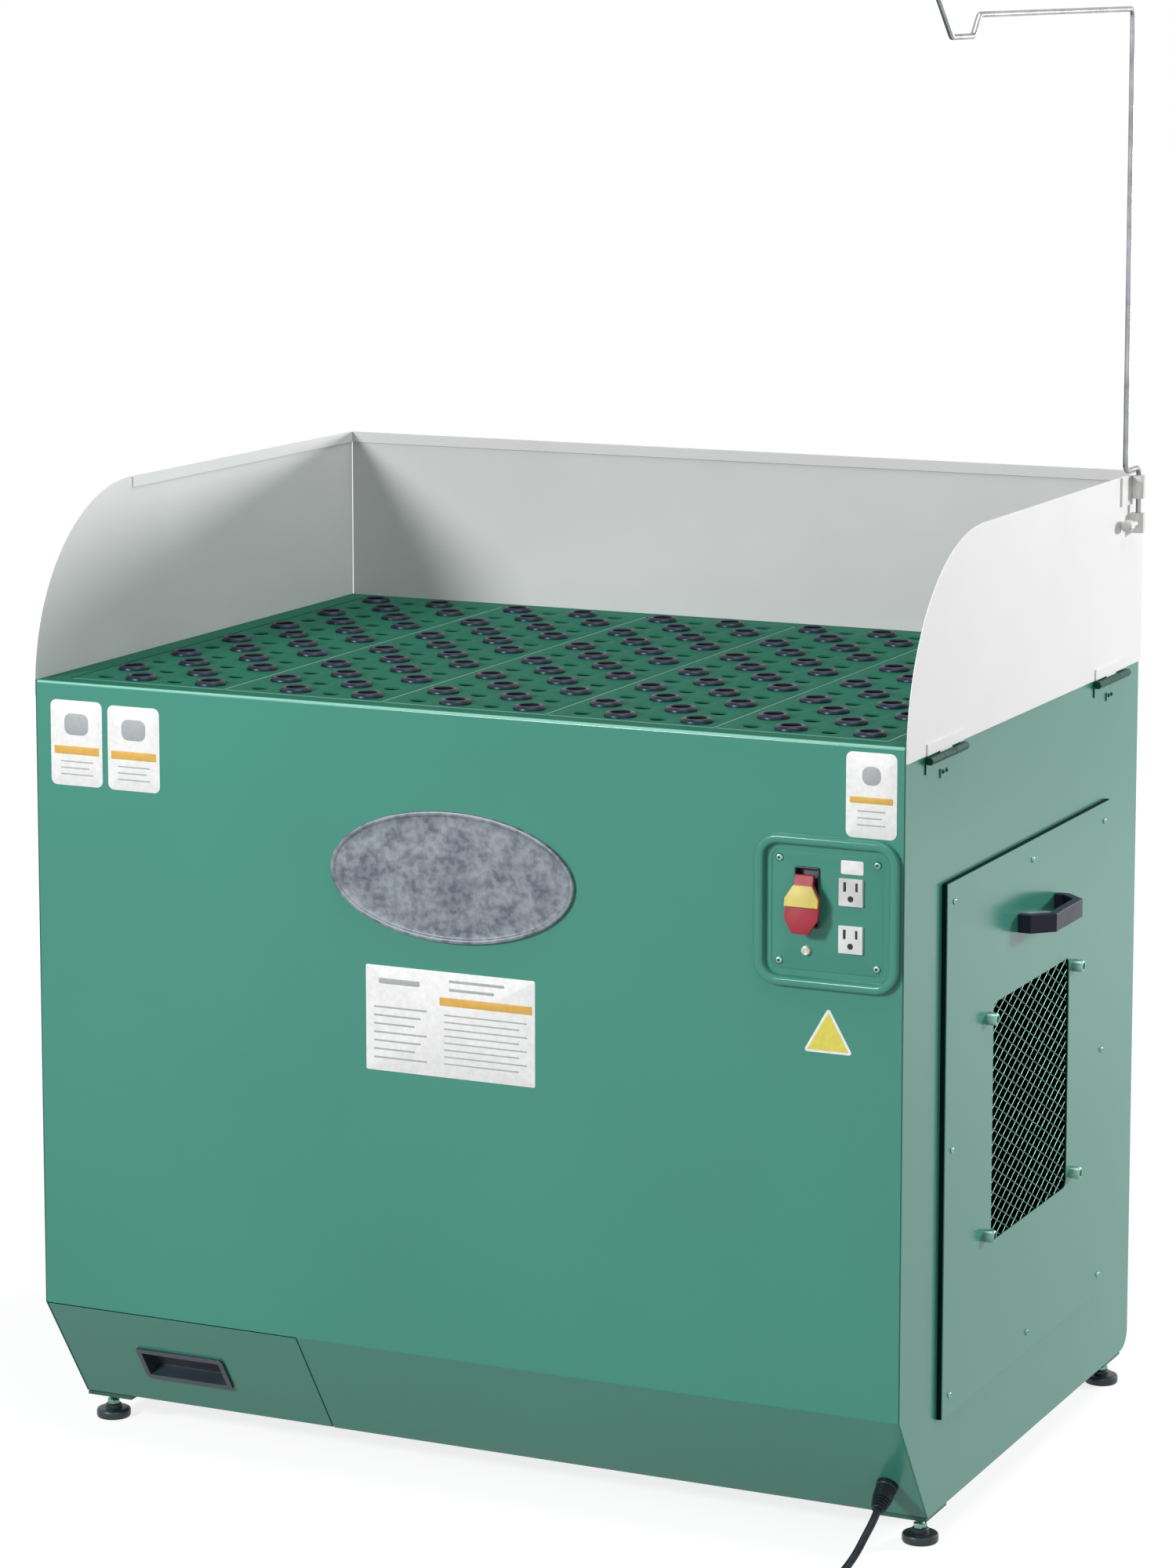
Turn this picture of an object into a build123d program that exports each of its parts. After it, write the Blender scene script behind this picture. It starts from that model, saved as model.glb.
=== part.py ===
from build123d import *
from math import atan2, cos, pi, radians, sin, sqrt, tan
import os

# Downdraft table: a sheet steel cabinet that sucks air down through five perforated panels.
# While it is modelled, x runs right from the left face, y back from the front face and z up
# from the floor. At the end everything moves so that the origin is under the middle of the box.

# Cabinet
width = 1000.0
depth = 730.0
table_height = 850.0
floor_gap = 35.0
toe_height = 125.0
toe_depth = 84.0
back_corner_radius = 22.0
sheet = 1.5
bend_radius = 3.0
return_fold = 15.0
side_rim = 28.0
end_rim = 27.0
rim_drop = 8.0
seam = 1.5
fit_gap = 0.3
overrun = 5.0
kink = floor_gap + toe_height
toe_angle = atan2(toe_depth, toe_height)
inside_left = sheet
inside_right = width - sheet
pan_top = floor_gap + 2 * sheet

# Perforated panels and their rubber grommets
panel_count = 5
panel_sheet = 2.0
panel_fold = 12.0
panel_pitch = (width - 2 * side_rim) / panel_count
hole_columns = 4
hole_rows = 12
column_pitch = 42.7
row_pitch = 56.9
plain_hole = 19.0
grommet_outer = 34.0
grommet_bore = 18.0
grommet_height = 5.0
grommet_ridge = 26.0
hole_sides = 6

# Support frame under the panels
ledge = 14.0
crossbar_width = 30.0
crossbar_depth = 25.0

# Air path inside
baffle_inset = 400.0
baffle_x = width - baffle_inset
baffle_top_drop = 60.0
baffle_top = table_height - baffle_top_drop
shoulder_drop = 90.0
baffle_shoulder = baffle_top - shoulder_drop
slope_foot = 150.0
slope_side_rise = 110.0
slope_back_rise = 180.0
partition_inset = 314.0
partition_x = width - partition_inset
filter_size = 430.0
filter_depth = 50.0
filter_rim = 15.0
filter_centre_y = depth / 2
filter_centre_z = 425.0
pleat_count = 10
pleat_paper = 1.5
rail_depth = 22.0

# Blower
blower_forward = 35.0
blower_y = depth / 2 - blower_forward
blower_z = 215.0
scroll_radius = 110.0
scroll_growth = 60.0
scroll_depth = 130.0
scroll_wall = 2.0
outlet_height = 150.0
inlet_radius = 75.0
scroll_foot = 30.0
wheel_radius = 95.0
wheel_inner = 72.0
wheel_depth = 80.0
wheel_plate = 3.0
wheel_ring = 4.0
wheel_gap = 12.0
blade_count = 12
blade_sheet = 2.0
blade_lean = 14.0
hub_radius = 20.0
shaft_radius = 8.0
shaft_reach = 40.0
scroll_steps = 24
wheel_sides = 24
motor_sides = 16
shaft_sides = 8
running_gap = 0.05
motor_radius = 68.0
motor_length = 115.0
motor_cap = 14.0
motor_flange = 84.0
motor_flange_depth = 8.0
motor_box = 50.0
motor_box_depth = 26.0

# Side access cover
cover_front = 106.0
cover_back_inset = 110.0
cover_back = depth - cover_back_inset
cover_bottom = 134.0
cover_top_drop = 156.5
cover_top = table_height - cover_top_drop
cover_stand = 4.5
gasket_inset = 3.0
gasket_width = 26.0
opening_inset = 34.0
window_front_inset = 141.0
window_front = cover_front + window_front_inset
window_back_inset = 133.0
window_back = cover_back - window_back_inset
window_drop = 152.5
window_top = cover_top - window_drop
window_rise = 151.0
window_bottom = cover_bottom + window_rise
window_radius = 8.0
screw_inset_y = 20.0
screw_inset_z = 21.0
screw_head = 3.4
screw_stand = 2.2
screw_sides = 6
stud_radius = 6.8
stud_stand = 11.0
stud_offset = 17.5
stud_inset = 12.0
mesh_sheet = 2.0
mesh_margin = 20.0
mesh_columns = 5
mesh_rows = 8
mesh_strand = 4.0
handle_offset = 14.0
handle_y = (window_front + window_back) / 2 + handle_offset
handle_drop = 81.5
handle_z = cover_top - handle_drop
handle_length = 126.0
handle_reach = 36.0
handle_leg = 15.0
handle_bar = 10.0
handle_height = 20.0

# Control panel
control_inset = 81.5
control_x = width - control_inset
control_drop = 173.0
control_z = table_height - control_drop
bezel_size = 155.0
bezel_radius = 25.0
bezel_ridge = 17.0
bezel_stand = 8.0
bezel_chamfer = 3.0
corner_steps = 3
plate_margin = 8.0
plate_screw_pitch = 100.0
plate_screw_head = 3.5
plate_screw_stand = 1.8
junction_size = 132.0
junction_depth = 62.0
switch_offset = 22.5
switch_x = control_x - switch_offset
switch_raise = 7.0
switch_z = control_z + switch_raise
switch_width = 26.0
switch_height = 62.0
switch_stand = 4.0
switch_depth = 38.0
switch_wall = 4.0
toggle_width = 36.0
toggle_neck = 20.0
toggle_tip = 17.0
toggle_head = 23.0
toggle_head_height = 10.0
toggle_rise = 21.0
toggle_shoulder = 8.0
toggle_drop = 12.0
toggle_tail = 27.0
toggle_sheet = 5.0
toggle_stand = 17.0
toggle_stem = 12.0
toggle_travel = 8.0
toggle_pivot_depth = 8.0
toggle_pivot_radius = 2.0
key_sheet = 3.0
key_tongue = 8.0
key_tongue_depth = 4.0
reset_offset = 22.9
reset_x = control_x - reset_offset
reset_drop = 40.0
reset_z = control_z - reset_drop
reset_radius = 5.0
reset_sides = 12
reset_stand = 5.0
reset_stem = 12.0
outlet_offset = 25.0
outlet_x = control_x + outlet_offset
outlet_raise = 23.0
outlet_upper_z = control_z + outlet_raise
outlet_drop = 25.0
outlet_lower_z = control_z - outlet_drop
outlet_width = 26.0
outlet_tall = 28.0
outlet_stand = 4.0
outlet_body = 22.0
slot_pitch = 12.7
slot_width = 2.0
slot_tall = 8.0
ground_radius = 2.4
ground_drop = 11.9
slot_depth = 9.0

# Dust drawer
drawer_right = 311.0
drawer_fold = 9.0
tray_left = 20.0
tray_right = 296.0
tray_bottom = 54.0
tray_top = 140.0
tray_back = 335.0
tray_wall = 1.2
runner_width = 14.0
runner_front = 135.0
runner_back = 560.0
runner_lip = 12.0
pull_x = 148.0
pull_z = 91.5
pull_width = 108.0
pull_height = 48.0
pull_rim = 6.0
pull_stand = 3.0
pull_depth = 15.0
pull_wall = 1.5
pull_radius = 4.0

# Splash guards and their hinges
guard_height = 198.6
guard_top = table_height + guard_height
guard_overlap = 17.0
guard_front_radius = 209.0
hem_height = 13.0
hem_start = 209.0
guard_end_fold = 10.0
guard_gap = 0.5
hinge_length = 105.0
hinge_side_inset = 105.0
hinge_back_inset = 85.0
knuckle_radius = 4.5
knuckle_sides = 6
knuckle_gap = 0.6
pin_radius = 2.0
pin_sides = 6
hinge_leaf = 1.5
leaf_up = 17.0
leaf_down = 14.0
tongue_width = 20.0
tongue_drop = 10.0
axis_drop = 5.0

# Hanger rod and its fittings on the right guard
rod_radius = 3.0
rod_sides = 6
rod_bore_sides = 8
sleeve_sides = 12
rod_inset = 40.0
rod_y = depth - rod_inset
rod_offset = 9.6
rod_foot_drop = 62.6
rod_foot = guard_top - rod_foot_drop
rod_jog_rise = 8.4
rod_jog_z = guard_top + rod_jog_rise
rod_jog = 48.0
rod_rise = 514.4
rod_top = guard_top + rod_rise
rod_arm = 484.0
rod_arm_end = rod_y - rod_jog - rod_arm
hook_step = 18.0
hook_back = rod_arm_end - hook_step
hook_length = 60.0
hook_front = hook_back - hook_length
hook_drop = 21.0
hook_tip_reach = 44.0
hook_tip_y = hook_front - hook_tip_reach
hook_tip_rise = 23.0
rod_bend = 9.0
hook_bend = 7.0
sleeve_radius = 8.0
sleeve_length = 25.5
sleeve_drop = 0.6
sleeve_top = guard_top - sleeve_drop
sleeve_bottom = sleeve_top - sleeve_length
sleeve_plate = 2.0
sleeve_plate_width = 38.0
sleeve_plate_front = rod_y - sleeve_plate_width
sleeve_plate_drop = 6.5
sleeve_plate_bottom = sleeve_bottom - sleeve_plate_drop
boss_radius = 9.5
boss_height = 22.0
boss_drop = 64.6
boss_bottom = guard_top - boss_drop
boss_top = boss_bottom + boss_height
boss_pad = 14.0
knob_z = (boss_bottom + boss_top) / 2
knob_radius = 6.8
knob_length = 14.0
knob_reach = 42.0
knob_front = rod_y - knob_reach
knob_screw = 3.0
knob_sides = 10

# Levelling feet
foot_side = 18.0
foot_front = 110.0
foot_back_inset = 38.0
foot_back = depth - foot_back_inset
foot_radius = 19.0
foot_pad = 10.0
foot_pad_sides = 14
foot_neck = 9.0
foot_neck_height = 5.0
foot_stud = 5.0
foot_stud_sides = 8
foot_stud_gap = 0.6
foot_stud_over = 9.0
foot_plate = 58.0
foot_plate_sheet = 4.0

# Oval badge plate
badge_x = width / 2
badge_z = control_z
badge_half_width = 140.6
badge_half_height = 69.4
badge_sheet = 3.0
badge_rim = 6.0
badge_rim_stand = 2.0
badge_steps = 32

# Power cord
cord_radius = 4.0
bend_share = 0.45
cord_sides = 6
gland_inset = 34.0
gland_x = width - gland_inset
gland_z = 75.0
gland_base = 11.5
gland_body = 10.5
gland_end = 7.5
gland_length = 33.0
gland_flange = 6.0
gland_taper = 18.0
gland_neck = 6.0
gland_sides = 12
coil_reach = 137.0
coil_x = gland_x - coil_reach
coil_y = -245.0
coil_radius = 115.0
coil_pitch = 8.6
coil_half_turns_in = 2
coil_half_turns_out = 1
tail_length = 42.0
cord_first_run = 14.0
plug_length = 36.0
plug_width = 26.0
plug_height = 24.4
plug_corner = 5.0
plug_relief = 22.0
plug_relief_radius = 6.0
blade_length = 18.0
blade_width = 6.4
blade_gauge = 1.5


def block(x0, x1, y0, y1, z0, z1):
    """Box between two corners."""
    corner = (Align.MIN, Align.MIN, Align.MIN)
    return Location((x0, y0, z0)) * Box(x1 - x0, y1 - y0, z1 - z0, align=corner)


def prism_x(points, x0, x1):
    """Outline given as (y, z) points, extruded along x."""
    face = Plane.YZ.offset(x0) * make_face(Polyline(*points, close=True))
    return extrude(face, x1 - x0)


def prism_y(points, y0, y1):
    """Outline given as (x, z) points, extruded along y."""
    face = Plane.XZ.offset(-y1) * make_face(Polyline(*points, close=True))
    return extrude(face, y1 - y0)


def post(sides, radius, x, y, z0, z1):
    """Upright polygonal post."""
    plane = Plane((x, y, z0))
    return extrude(plane * RegularPolygon(radius, sides), z1 - z0)


def bent_sheet(points, radii, across, breadth):
    """Sheet swept along a folded line that runs in the middle of its thickness."""
    path = FilletPolyline(*points, radius=radii)
    start = Plane(origin=path @ 0, x_dir=across, z_dir=path % 0)
    return sweep(start * Rectangle(breadth, sheet), path)


def toe_y(z, inset=0.0):
    """y of the slanted toe at height z, moved inwards by a distance square to it."""
    return (kink - z) * tan(toe_angle) + inset / cos(toe_angle)


def toe_plane(x, z):
    """Plane on the slanted toe, x along the front, y up the slope and z outwards."""
    outwards = (0, -cos(toe_angle), -sin(toe_angle))
    return Plane(origin=(x, toe_y(z), z), x_dir=(1, 0, 0), z_dir=outwards)


def body_outline():
    """Side view of the cabinet as (y, z) points, without its rounded corner."""
    return [
        (toe_depth, floor_gap),
        (0, kink),
        (0, table_height),
        (depth, table_height),
        (depth, floor_gap),
    ]


# Cabinet shell


def side_panel():
    """Left side: flat plate with the rim on top and a fold along the bottom."""
    outline = make_face(Polyline(*body_outline(), close=True))
    corner = outline.vertices().sort_by(Axis.X)[-2:].sort_by(Axis.Y)[0]
    outline = fillet(corner, back_corner_radius)
    plate = extrude(Plane.YZ * outline, sheet)
    rim = block(0, side_rim, end_rim, depth - end_rim, table_height - sheet, table_height)
    foot_start = toe_depth + return_fold + sheet
    foot_end = depth - back_corner_radius - sheet
    fold = block(0, return_fold, foot_start, foot_end, floor_gap, floor_gap + sheet)
    for y in (foot_front, foot_back):
        fold -= stud_hole(foot_side, y)
    return plate + rim + fold


def stud_hole(x, y):
    """Clearance hole for a levelling stud, through everything at the bottom."""
    radius = foot_stud + foot_stud_gap
    return post(foot_stud_sides, radius, x, y, 0, pan_top + overrun)


def right_side_panel():
    """The left side turned over, with the opening that the access cover closes."""
    panel = mirror(side_panel(), about=Plane.YZ.offset(width / 2))
    low, high = cover_bottom + opening_inset, cover_top - opening_inset
    front, back = cover_front + opening_inset, cover_back - opening_inset
    return panel - block(width - overrun, width + overrun, front, back, low, high)


def front_panel():
    """One sheet: bottom return, slanted toe, front face and the bend into the front rim."""
    half = sheet / 2
    toe_turn = half * tan(toe_angle / 2)
    foot_turn = half * tan((pi / 2 - toe_angle) / 2)
    middle = width / 2
    points = [
        (middle, toe_depth + return_fold, floor_gap + half),
        (middle, toe_depth + foot_turn, floor_gap + half),
        (middle, half, kink + toe_turn),
        (middle, half, table_height - half),
        (middle, end_rim - half, table_height - half),
        (middle, end_rim - half, table_height - rim_drop),
    ]
    tight = sheet
    radii = [tight, bend_radius, bend_radius, tight]
    panel = bent_sheet(points, radii, (1, 0, 0), width - 2 * sheet)
    face_fold = [
        (sheet, kink),
        (sheet, table_height - sheet),
        (return_fold, table_height - sheet),
        (return_fold, kink),
    ]
    toe_fold = [
        (toe_y(kink, sheet), kink),
        (toe_y(floor_gap + sheet, sheet), floor_gap + sheet),
        (toe_y(floor_gap + sheet, return_fold), floor_gap + sheet),
        (return_fold, kink),
    ]
    for x in (inside_left, inside_right - sheet):
        panel += prism_x(face_fold, x, x + sheet)
    panel += prism_x(toe_fold, inside_right - sheet, inside_right)
    drawer_gap = block(0, drawer_right + seam / 2, -overrun, toe_depth + return_fold + overrun,
                       0, kink)
    hole = control_square(bezel_size - 2 * bezel_ridge, bezel_radius - bezel_ridge)
    panel -= drawer_gap
    panel -= extrude(Plane.XZ.offset(-sheet - overrun) * hole, sheet + 2 * overrun)
    neck = RegularPolygon(gland_neck + fit_gap, foot_stud_sides)
    return panel - extrude(toe_plane(gland_x, gland_z) * neck, overrun, both=True)


def control_square(size, radius):
    """Square about the middle of the control panel, its round corners in short chords."""
    place = Pos(control_x, control_z)
    return place * make_face(Polyline(*rounded_points(size, size, radius), close=True))


def rounded_points(wide, tall, radius):
    """Points of a rectangle whose round corners are made of short chords."""
    points = []
    for quarter, (side_x, side_y) in enumerate([(1, 1), (-1, 1), (-1, -1), (1, -1)]):
        centre_x = side_x * (wide / 2 - radius)
        centre_y = side_y * (tall / 2 - radius)
        for step in range(corner_steps + 1):
            angle = pi / 2 * (quarter + step / corner_steps)
            points.append((centre_x + radius * cos(angle), centre_y + radius * sin(angle)))
    return points


def back_panel():
    """Bottom return, rounded corner, back face and the bend into the back rim."""
    half = sheet / 2
    middle = width / 2
    points = [
        (middle, depth - back_corner_radius - 2 * half, floor_gap + half),
        (middle, depth - half, floor_gap + half),
        (middle, depth - half, table_height - half),
        (middle, depth - end_rim + half, table_height - half),
        (middle, depth - end_rim + half, table_height - rim_drop),
    ]
    radii = [back_corner_radius - half, bend_radius, sheet]
    return bent_sheet(points, radii, (1, 0, 0), width - 2 * sheet)


def base_pan():
    """Floor of the cabinet, with a plate for each foot welded under the folds."""
    edge = sheet + fit_gap
    pan = block(inside_left + edge, inside_right - edge, toe_depth + return_fold / 2,
                depth - back_corner_radius, floor_gap + sheet, pan_top)
    pan -= block(0, drawer_right + seam, 0, toe_depth + return_fold, 0, pan_top)
    plates = []
    for x in (foot_side, width - foot_side):
        left = 0 if x < width / 2 else width - foot_plate
        for y in (foot_front, foot_back):
            front = toe_depth if y < depth / 2 else depth - back_corner_radius - foot_plate
            plate = block(left + sheet, left + foot_plate - sheet, front, front + foot_plate,
                          floor_gap - foot_plate_sheet, floor_gap)
            hole = stud_hole(x, y)
            plates.append(plate - hole)
            pan -= hole
    return [pan, *plates]


def top_frame():
    """Ledge all round under the panels, with a channel under each seam between panels."""
    top = table_height - panel_fold
    edge = sheet + fit_gap
    x0, x1 = inside_left + edge, inside_right - edge
    y0, y1 = sheet + fit_gap, depth - sheet - fit_gap
    frame = block(x0, x1, y0, y1, top - sheet, top)
    frame -= block(side_rim + ledge, width - side_rim - ledge, end_rim + ledge,
                   depth - end_rim - ledge, top - sheet - overrun, top + overrun)
    for i in range(1, panel_count):
        x = side_rim + i * panel_pitch
        left, right = x - crossbar_width / 2, x + crossbar_width / 2
        frame += block(left, right, y0 + ledge, y1 - ledge, top - sheet, top)
        for web in (left, right - sheet):
            frame += block(web, web + sheet, y0 + ledge, y1 - ledge, top - crossbar_depth, top)
    return frame


# Perforated panels


def hole_places():
    """Every hole place of one panel from its front left corner, with True for a plain hole."""
    x0 = (panel_pitch - (hole_columns - 1) * column_pitch) / 2
    y0 = (depth - 2 * end_rim - (hole_rows - 1) * row_pitch) / 2
    places = []
    for row in range(hole_rows):
        for column in range(hole_columns):
            place = Pos(x0 + column * column_pitch, y0 + row * row_pitch)
            places.append((place, (row + column) % 2 == 0))
    return places


def perforated_panel():
    """Pan with folded edges; every second hole of the chequer pattern takes a grommet."""
    gap = seam / 2
    x1 = panel_pitch - gap
    y1 = depth - 2 * end_rim - gap
    sketch = Pos((gap + x1) / 2, (gap + y1) / 2) * Rectangle(x1 - gap, y1 - gap)
    plain = RegularPolygon(plain_hole / 2, hole_sides)
    seat = RegularPolygon(grommet_bore / 2, 4)
    for place, is_plain in hole_places():
        sketch -= place * (plain if is_plain else seat)
    plate = extrude(sketch, -panel_sheet)
    walls = block(gap, x1, gap, y1, -panel_fold, -panel_sheet)
    walls -= block(gap + sheet, x1 - sheet, gap + sheet, y1 - sheet, -panel_fold - overrun, 0)
    return plate + walls


def grommets():
    """One ring for each seat of a panel: a ridge that slopes down outwards and to the bore."""
    outer, ridge, bore = grommet_outer / 2, grommet_ridge / 2, grommet_bore / 2
    step = 360 / hole_sides
    corners = [Vector(outer, 0).rotate(Axis.Z, i * step) for i in range(hole_sides)]
    middle = (corners[0] + corners[1]) / 2
    path = Polyline(middle, *corners[1:], corners[0], middle)
    flat_share = cos(pi / hole_sides)
    profile = [
        (0, 0),
        ((outer - ridge) * flat_share, grommet_height),
        ((outer - bore) * flat_share, 0),
    ]
    start = Plane(origin=middle, x_dir=-middle, z_dir=path % 0)
    section = start * make_face(Polyline(*profile, close=True))
    ring = sweep(section, path, transition=Transition.RIGHT)
    return [place * ring for place, is_plain in hole_places() if not is_plain]


def panel_location(index):
    """Front left corner of a panel's place in the top."""
    return Location((side_rim + index * panel_pitch, end_rim, table_height))


# Air path


def chute_z(x):
    """Height of the sloping chute above a place along the cabinet."""
    share = (x - baffle_x) / (inside_right - baffle_x)
    return baffle_shoulder + share * (baffle_top - baffle_shoulder)


def hollow(gap):
    """Everything inside the shell's sheets, less a gap, above the base pan."""
    inset = sheet + gap
    back = depth - inset
    outline = [
        (toe_y(pan_top, inset), pan_top),
        (toe_y(kink, inset), kink),
        (toe_y(kink, inset), table_height - inset),
        (back, table_height - inset),
        (back, floor_gap + back_corner_radius),
        (depth - back_corner_radius, pan_top),
    ]
    return prism_x(outline, inside_left + gap, inside_right - gap)


def air_baffle():
    """Chute with the filter window, two slopes that feed the drawer, and the blower wall."""
    half = sheet / 2
    middle = depth / 2
    points = [
        (inside_right - sheet - fit_gap, middle, baffle_top),
        (baffle_x - half, middle, baffle_shoulder),
        (baffle_x - half, middle, pan_top),
    ]
    edge = 2 * sheet + fit_gap
    chute = bent_sheet(points, [bend_radius], (0, 1, 0), depth - 2 * edge)
    reach = filter_size / 2 - filter_rim
    chute -= block(baffle_x - overrun, baffle_x + overrun, filter_centre_y - reach,
                   filter_centre_y + reach, filter_centre_z - reach, filter_centre_z + reach)
    left = drawer_right + seam
    side_slope = [
        (left, slope_foot),
        (left, slope_foot - sheet),
        (baffle_x - sheet, slope_foot + slope_side_rise - sheet),
        (baffle_x - sheet, slope_foot + slope_side_rise),
    ]
    back = tray_back + overrun
    back_slope = [
        (back, slope_foot),
        (back, slope_foot - sheet),
        (depth - edge, slope_foot + slope_back_rise - sheet),
        (depth - edge, slope_foot + slope_back_rise),
    ]
    wall = block(partition_x, partition_x + sheet, edge, depth - edge, pan_top,
                 chute_z(partition_x) - sheet - fit_gap)
    wall -= shaft_bar(inlet_radius, motor_sides, partition_x - overrun, partition_x + sheet)
    sheets = [
        chute,
        prism_y(side_slope, edge, tray_back),
        prism_x(back_slope, inside_left, baffle_x - sheet),
        wall,
    ]
    return [item & hollow(fit_gap) for item in sheets]


def panel_filter():
    """Card frame round a zigzag of pleated paper."""
    half = filter_size / 2
    reach = half - filter_rim
    x0 = baffle_x + fit_gap
    x1 = x0 + filter_depth
    y0, y1 = filter_centre_y - half, filter_centre_y + half
    frame = block(x0, x1, y0, y1, filter_centre_z - half, filter_centre_z + half)
    frame -= block(x0 - overrun, x1 + overrun, y0 + filter_rim, y1 - filter_rim,
                   filter_centre_z - reach, filter_centre_z + reach)
    step = reach / pleat_count
    near, far = [], []
    for i in range(2 * pleat_count + 1):
        y = filter_centre_y - reach + i * step
        x = x0 + pleat_paper if i % 2 == 0 else x1 - 2 * pleat_paper
        near.append((x, y))
        far.append((x + pleat_paper, y))
    zigzag = make_face(Polyline(*near, *reversed(far), close=True))
    pleats = extrude(Pos(0, 0, filter_centre_z - reach) * zigzag, 2 * reach)
    return frame + pleats


def filter_rails():
    """Channels above and below the filter, on the baffle's face."""
    half = filter_size / 2 + fit_gap
    x0 = baffle_x
    x1 = baffle_x + filter_depth + 2 * fit_gap + sheet
    y0, y1 = filter_centre_y - half, filter_centre_y + half
    low, high = filter_centre_z - half, filter_centre_z + half
    lower = block(x0, x1, y0, y1, low - sheet, low)
    lower += block(x1 - sheet, x1, y0, y1, low, low + rail_depth)
    upper = block(x0, x1, y0, y1, high, high + sheet)
    upper += block(x1 - sheet, x1, y0, y1, high - rail_depth, high)
    return [lower, upper]


# Blower


def scroll_face(inset, top):
    """Scroll outline about the shaft: a steadily growing spiral, then the outlet duct."""
    spiral = []
    for i in range(scroll_steps + 1):
        share = i / scroll_steps
        radius = scroll_radius + share * scroll_growth - inset
        angle = 2 * pi * share
        spiral.append((radius * cos(angle), radius * sin(angle)))
    tongue = scroll_radius + inset
    duct = [(spiral[-1][0], top), (tongue, top), (tongue, -inset)]
    return make_face(Polyline(*spiral, *duct[: 3 if inset > 0 else 2], close=True))


def blower_plane(x):
    """Plane square to the shaft; its x is the table's y and its y is up."""
    return Plane((x, blower_y, blower_z), x_dir=(0, 1, 0), z_dir=(1, 0, 0))


def shaft_bar(radius, sides, x0, x1):
    """Polygonal bar about the shaft."""
    return extrude(blower_plane(x0) * RegularPolygon(radius, sides), x1 - x0)


def blower_housing():
    """Scroll shell, open at the outlet and round the inlet, on two feet."""
    x0 = partition_x + sheet
    x1 = x0 + scroll_depth
    outside = extrude(blower_plane(x0) * scroll_face(0, outlet_height), scroll_depth)
    inside = blower_plane(x0 + scroll_wall) * scroll_face(scroll_wall, outlet_height + overrun)
    shell = outside - extrude(inside, scroll_depth - 2 * scroll_wall)
    shell -= shaft_bar(inlet_radius, motor_sides, x0 - overrun, x0 + scroll_wall + overrun)
    shell -= shaft_bar(hub_radius, shaft_sides, x1 - scroll_wall - overrun, x1 + overrun)
    for side in (-1, 1):
        y = blower_y + side * scroll_radius / 2
        foot = block(x0, x1, y - scroll_foot / 2, y + scroll_foot / 2, pan_top,
                     blower_z - scroll_radius / 2)
        shell += foot - outside
    return shell


def blower_wheel():
    """Squirrel cage wheel: back plate, leaning blades, front ring, hub and shaft."""
    x0 = partition_x + sheet + scroll_wall + wheel_gap
    x1 = x0 + wheel_depth
    wheel = shaft_bar(wheel_radius, wheel_sides, x1 - wheel_plate, x1)
    wheel += shaft_bar(wheel_radius, wheel_sides, x0, x0 + wheel_ring)
    wheel -= shaft_bar(wheel_inner, wheel_sides, x0, x0 + wheel_ring)
    middle = (wheel_radius + wheel_inner) / 2
    reach = wheel_radius - wheel_inner - wheel_ring
    blade = Pos(middle, 0) * Rot(0, 0, blade_lean) * Rectangle(reach, blade_sheet)
    for i in range(blade_count):
        turned = Rot(0, 0, i * 360 / blade_count) * blade
        wheel += extrude(blower_plane(x0) * turned, wheel_depth)
    wheel += shaft_bar(hub_radius, shaft_sides, (x0 + x1) / 2, x1)
    shaft_end = partition_x + sheet + scroll_depth + shaft_reach
    return wheel + shaft_bar(shaft_radius, shaft_sides, x1, shaft_end)


def motor():
    """Flanged motor on the back of the scroll, with its terminal box on top."""
    x0 = partition_x + sheet + scroll_depth
    x1 = x0 + motor_length
    body = shaft_bar(motor_radius, motor_sides, x0, x1)
    body = chamfer(body.faces().sort_by(Axis.X)[-1].edges(), motor_cap)
    body += shaft_bar(motor_flange, motor_sides, x0, x0 + motor_flange_depth)
    bore = (shaft_radius + running_gap) / cos(pi / shaft_sides)
    body -= shaft_bar(bore, shaft_sides, x0 - overrun, x0 + shaft_reach + fit_gap)
    half = motor_box / 2
    box_x = (x0 + x1) / 2
    low = blower_z + motor_radius - motor_box_depth
    return body + block(box_x - half, box_x + half, blower_y - half, blower_y + half,
                        low, blower_z + motor_radius + motor_box_depth)


# Side access cover


def cover_plate():
    """Cover sheet with the exhaust window."""
    x0 = width + cover_stand
    plate = block(x0, x0 + sheet, cover_front, cover_back, cover_bottom, cover_top)
    window = RectangleRounded(window_back - window_front, window_top - window_bottom,
                              window_radius)
    plane = Plane((x0, (window_front + window_back) / 2, (window_bottom + window_top) / 2),
                  x_dir=(0, 1, 0), z_dir=(1, 0, 0))
    return plate - extrude(plane * window, 2 * sheet, both=True)


def cover_gasket():
    """Dark foam frame between the cover and the side panel."""
    y0, y1 = cover_front + gasket_inset, cover_back - gasket_inset
    z0, z1 = cover_bottom + gasket_inset, cover_top - gasket_inset
    ring = block(width, width + cover_stand, y0, y1, z0, z1)
    return ring - block(width - overrun, width + cover_stand + overrun, y0 + gasket_width,
                        y1 - gasket_width, z0 + gasket_width, z1 - gasket_width)


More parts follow.
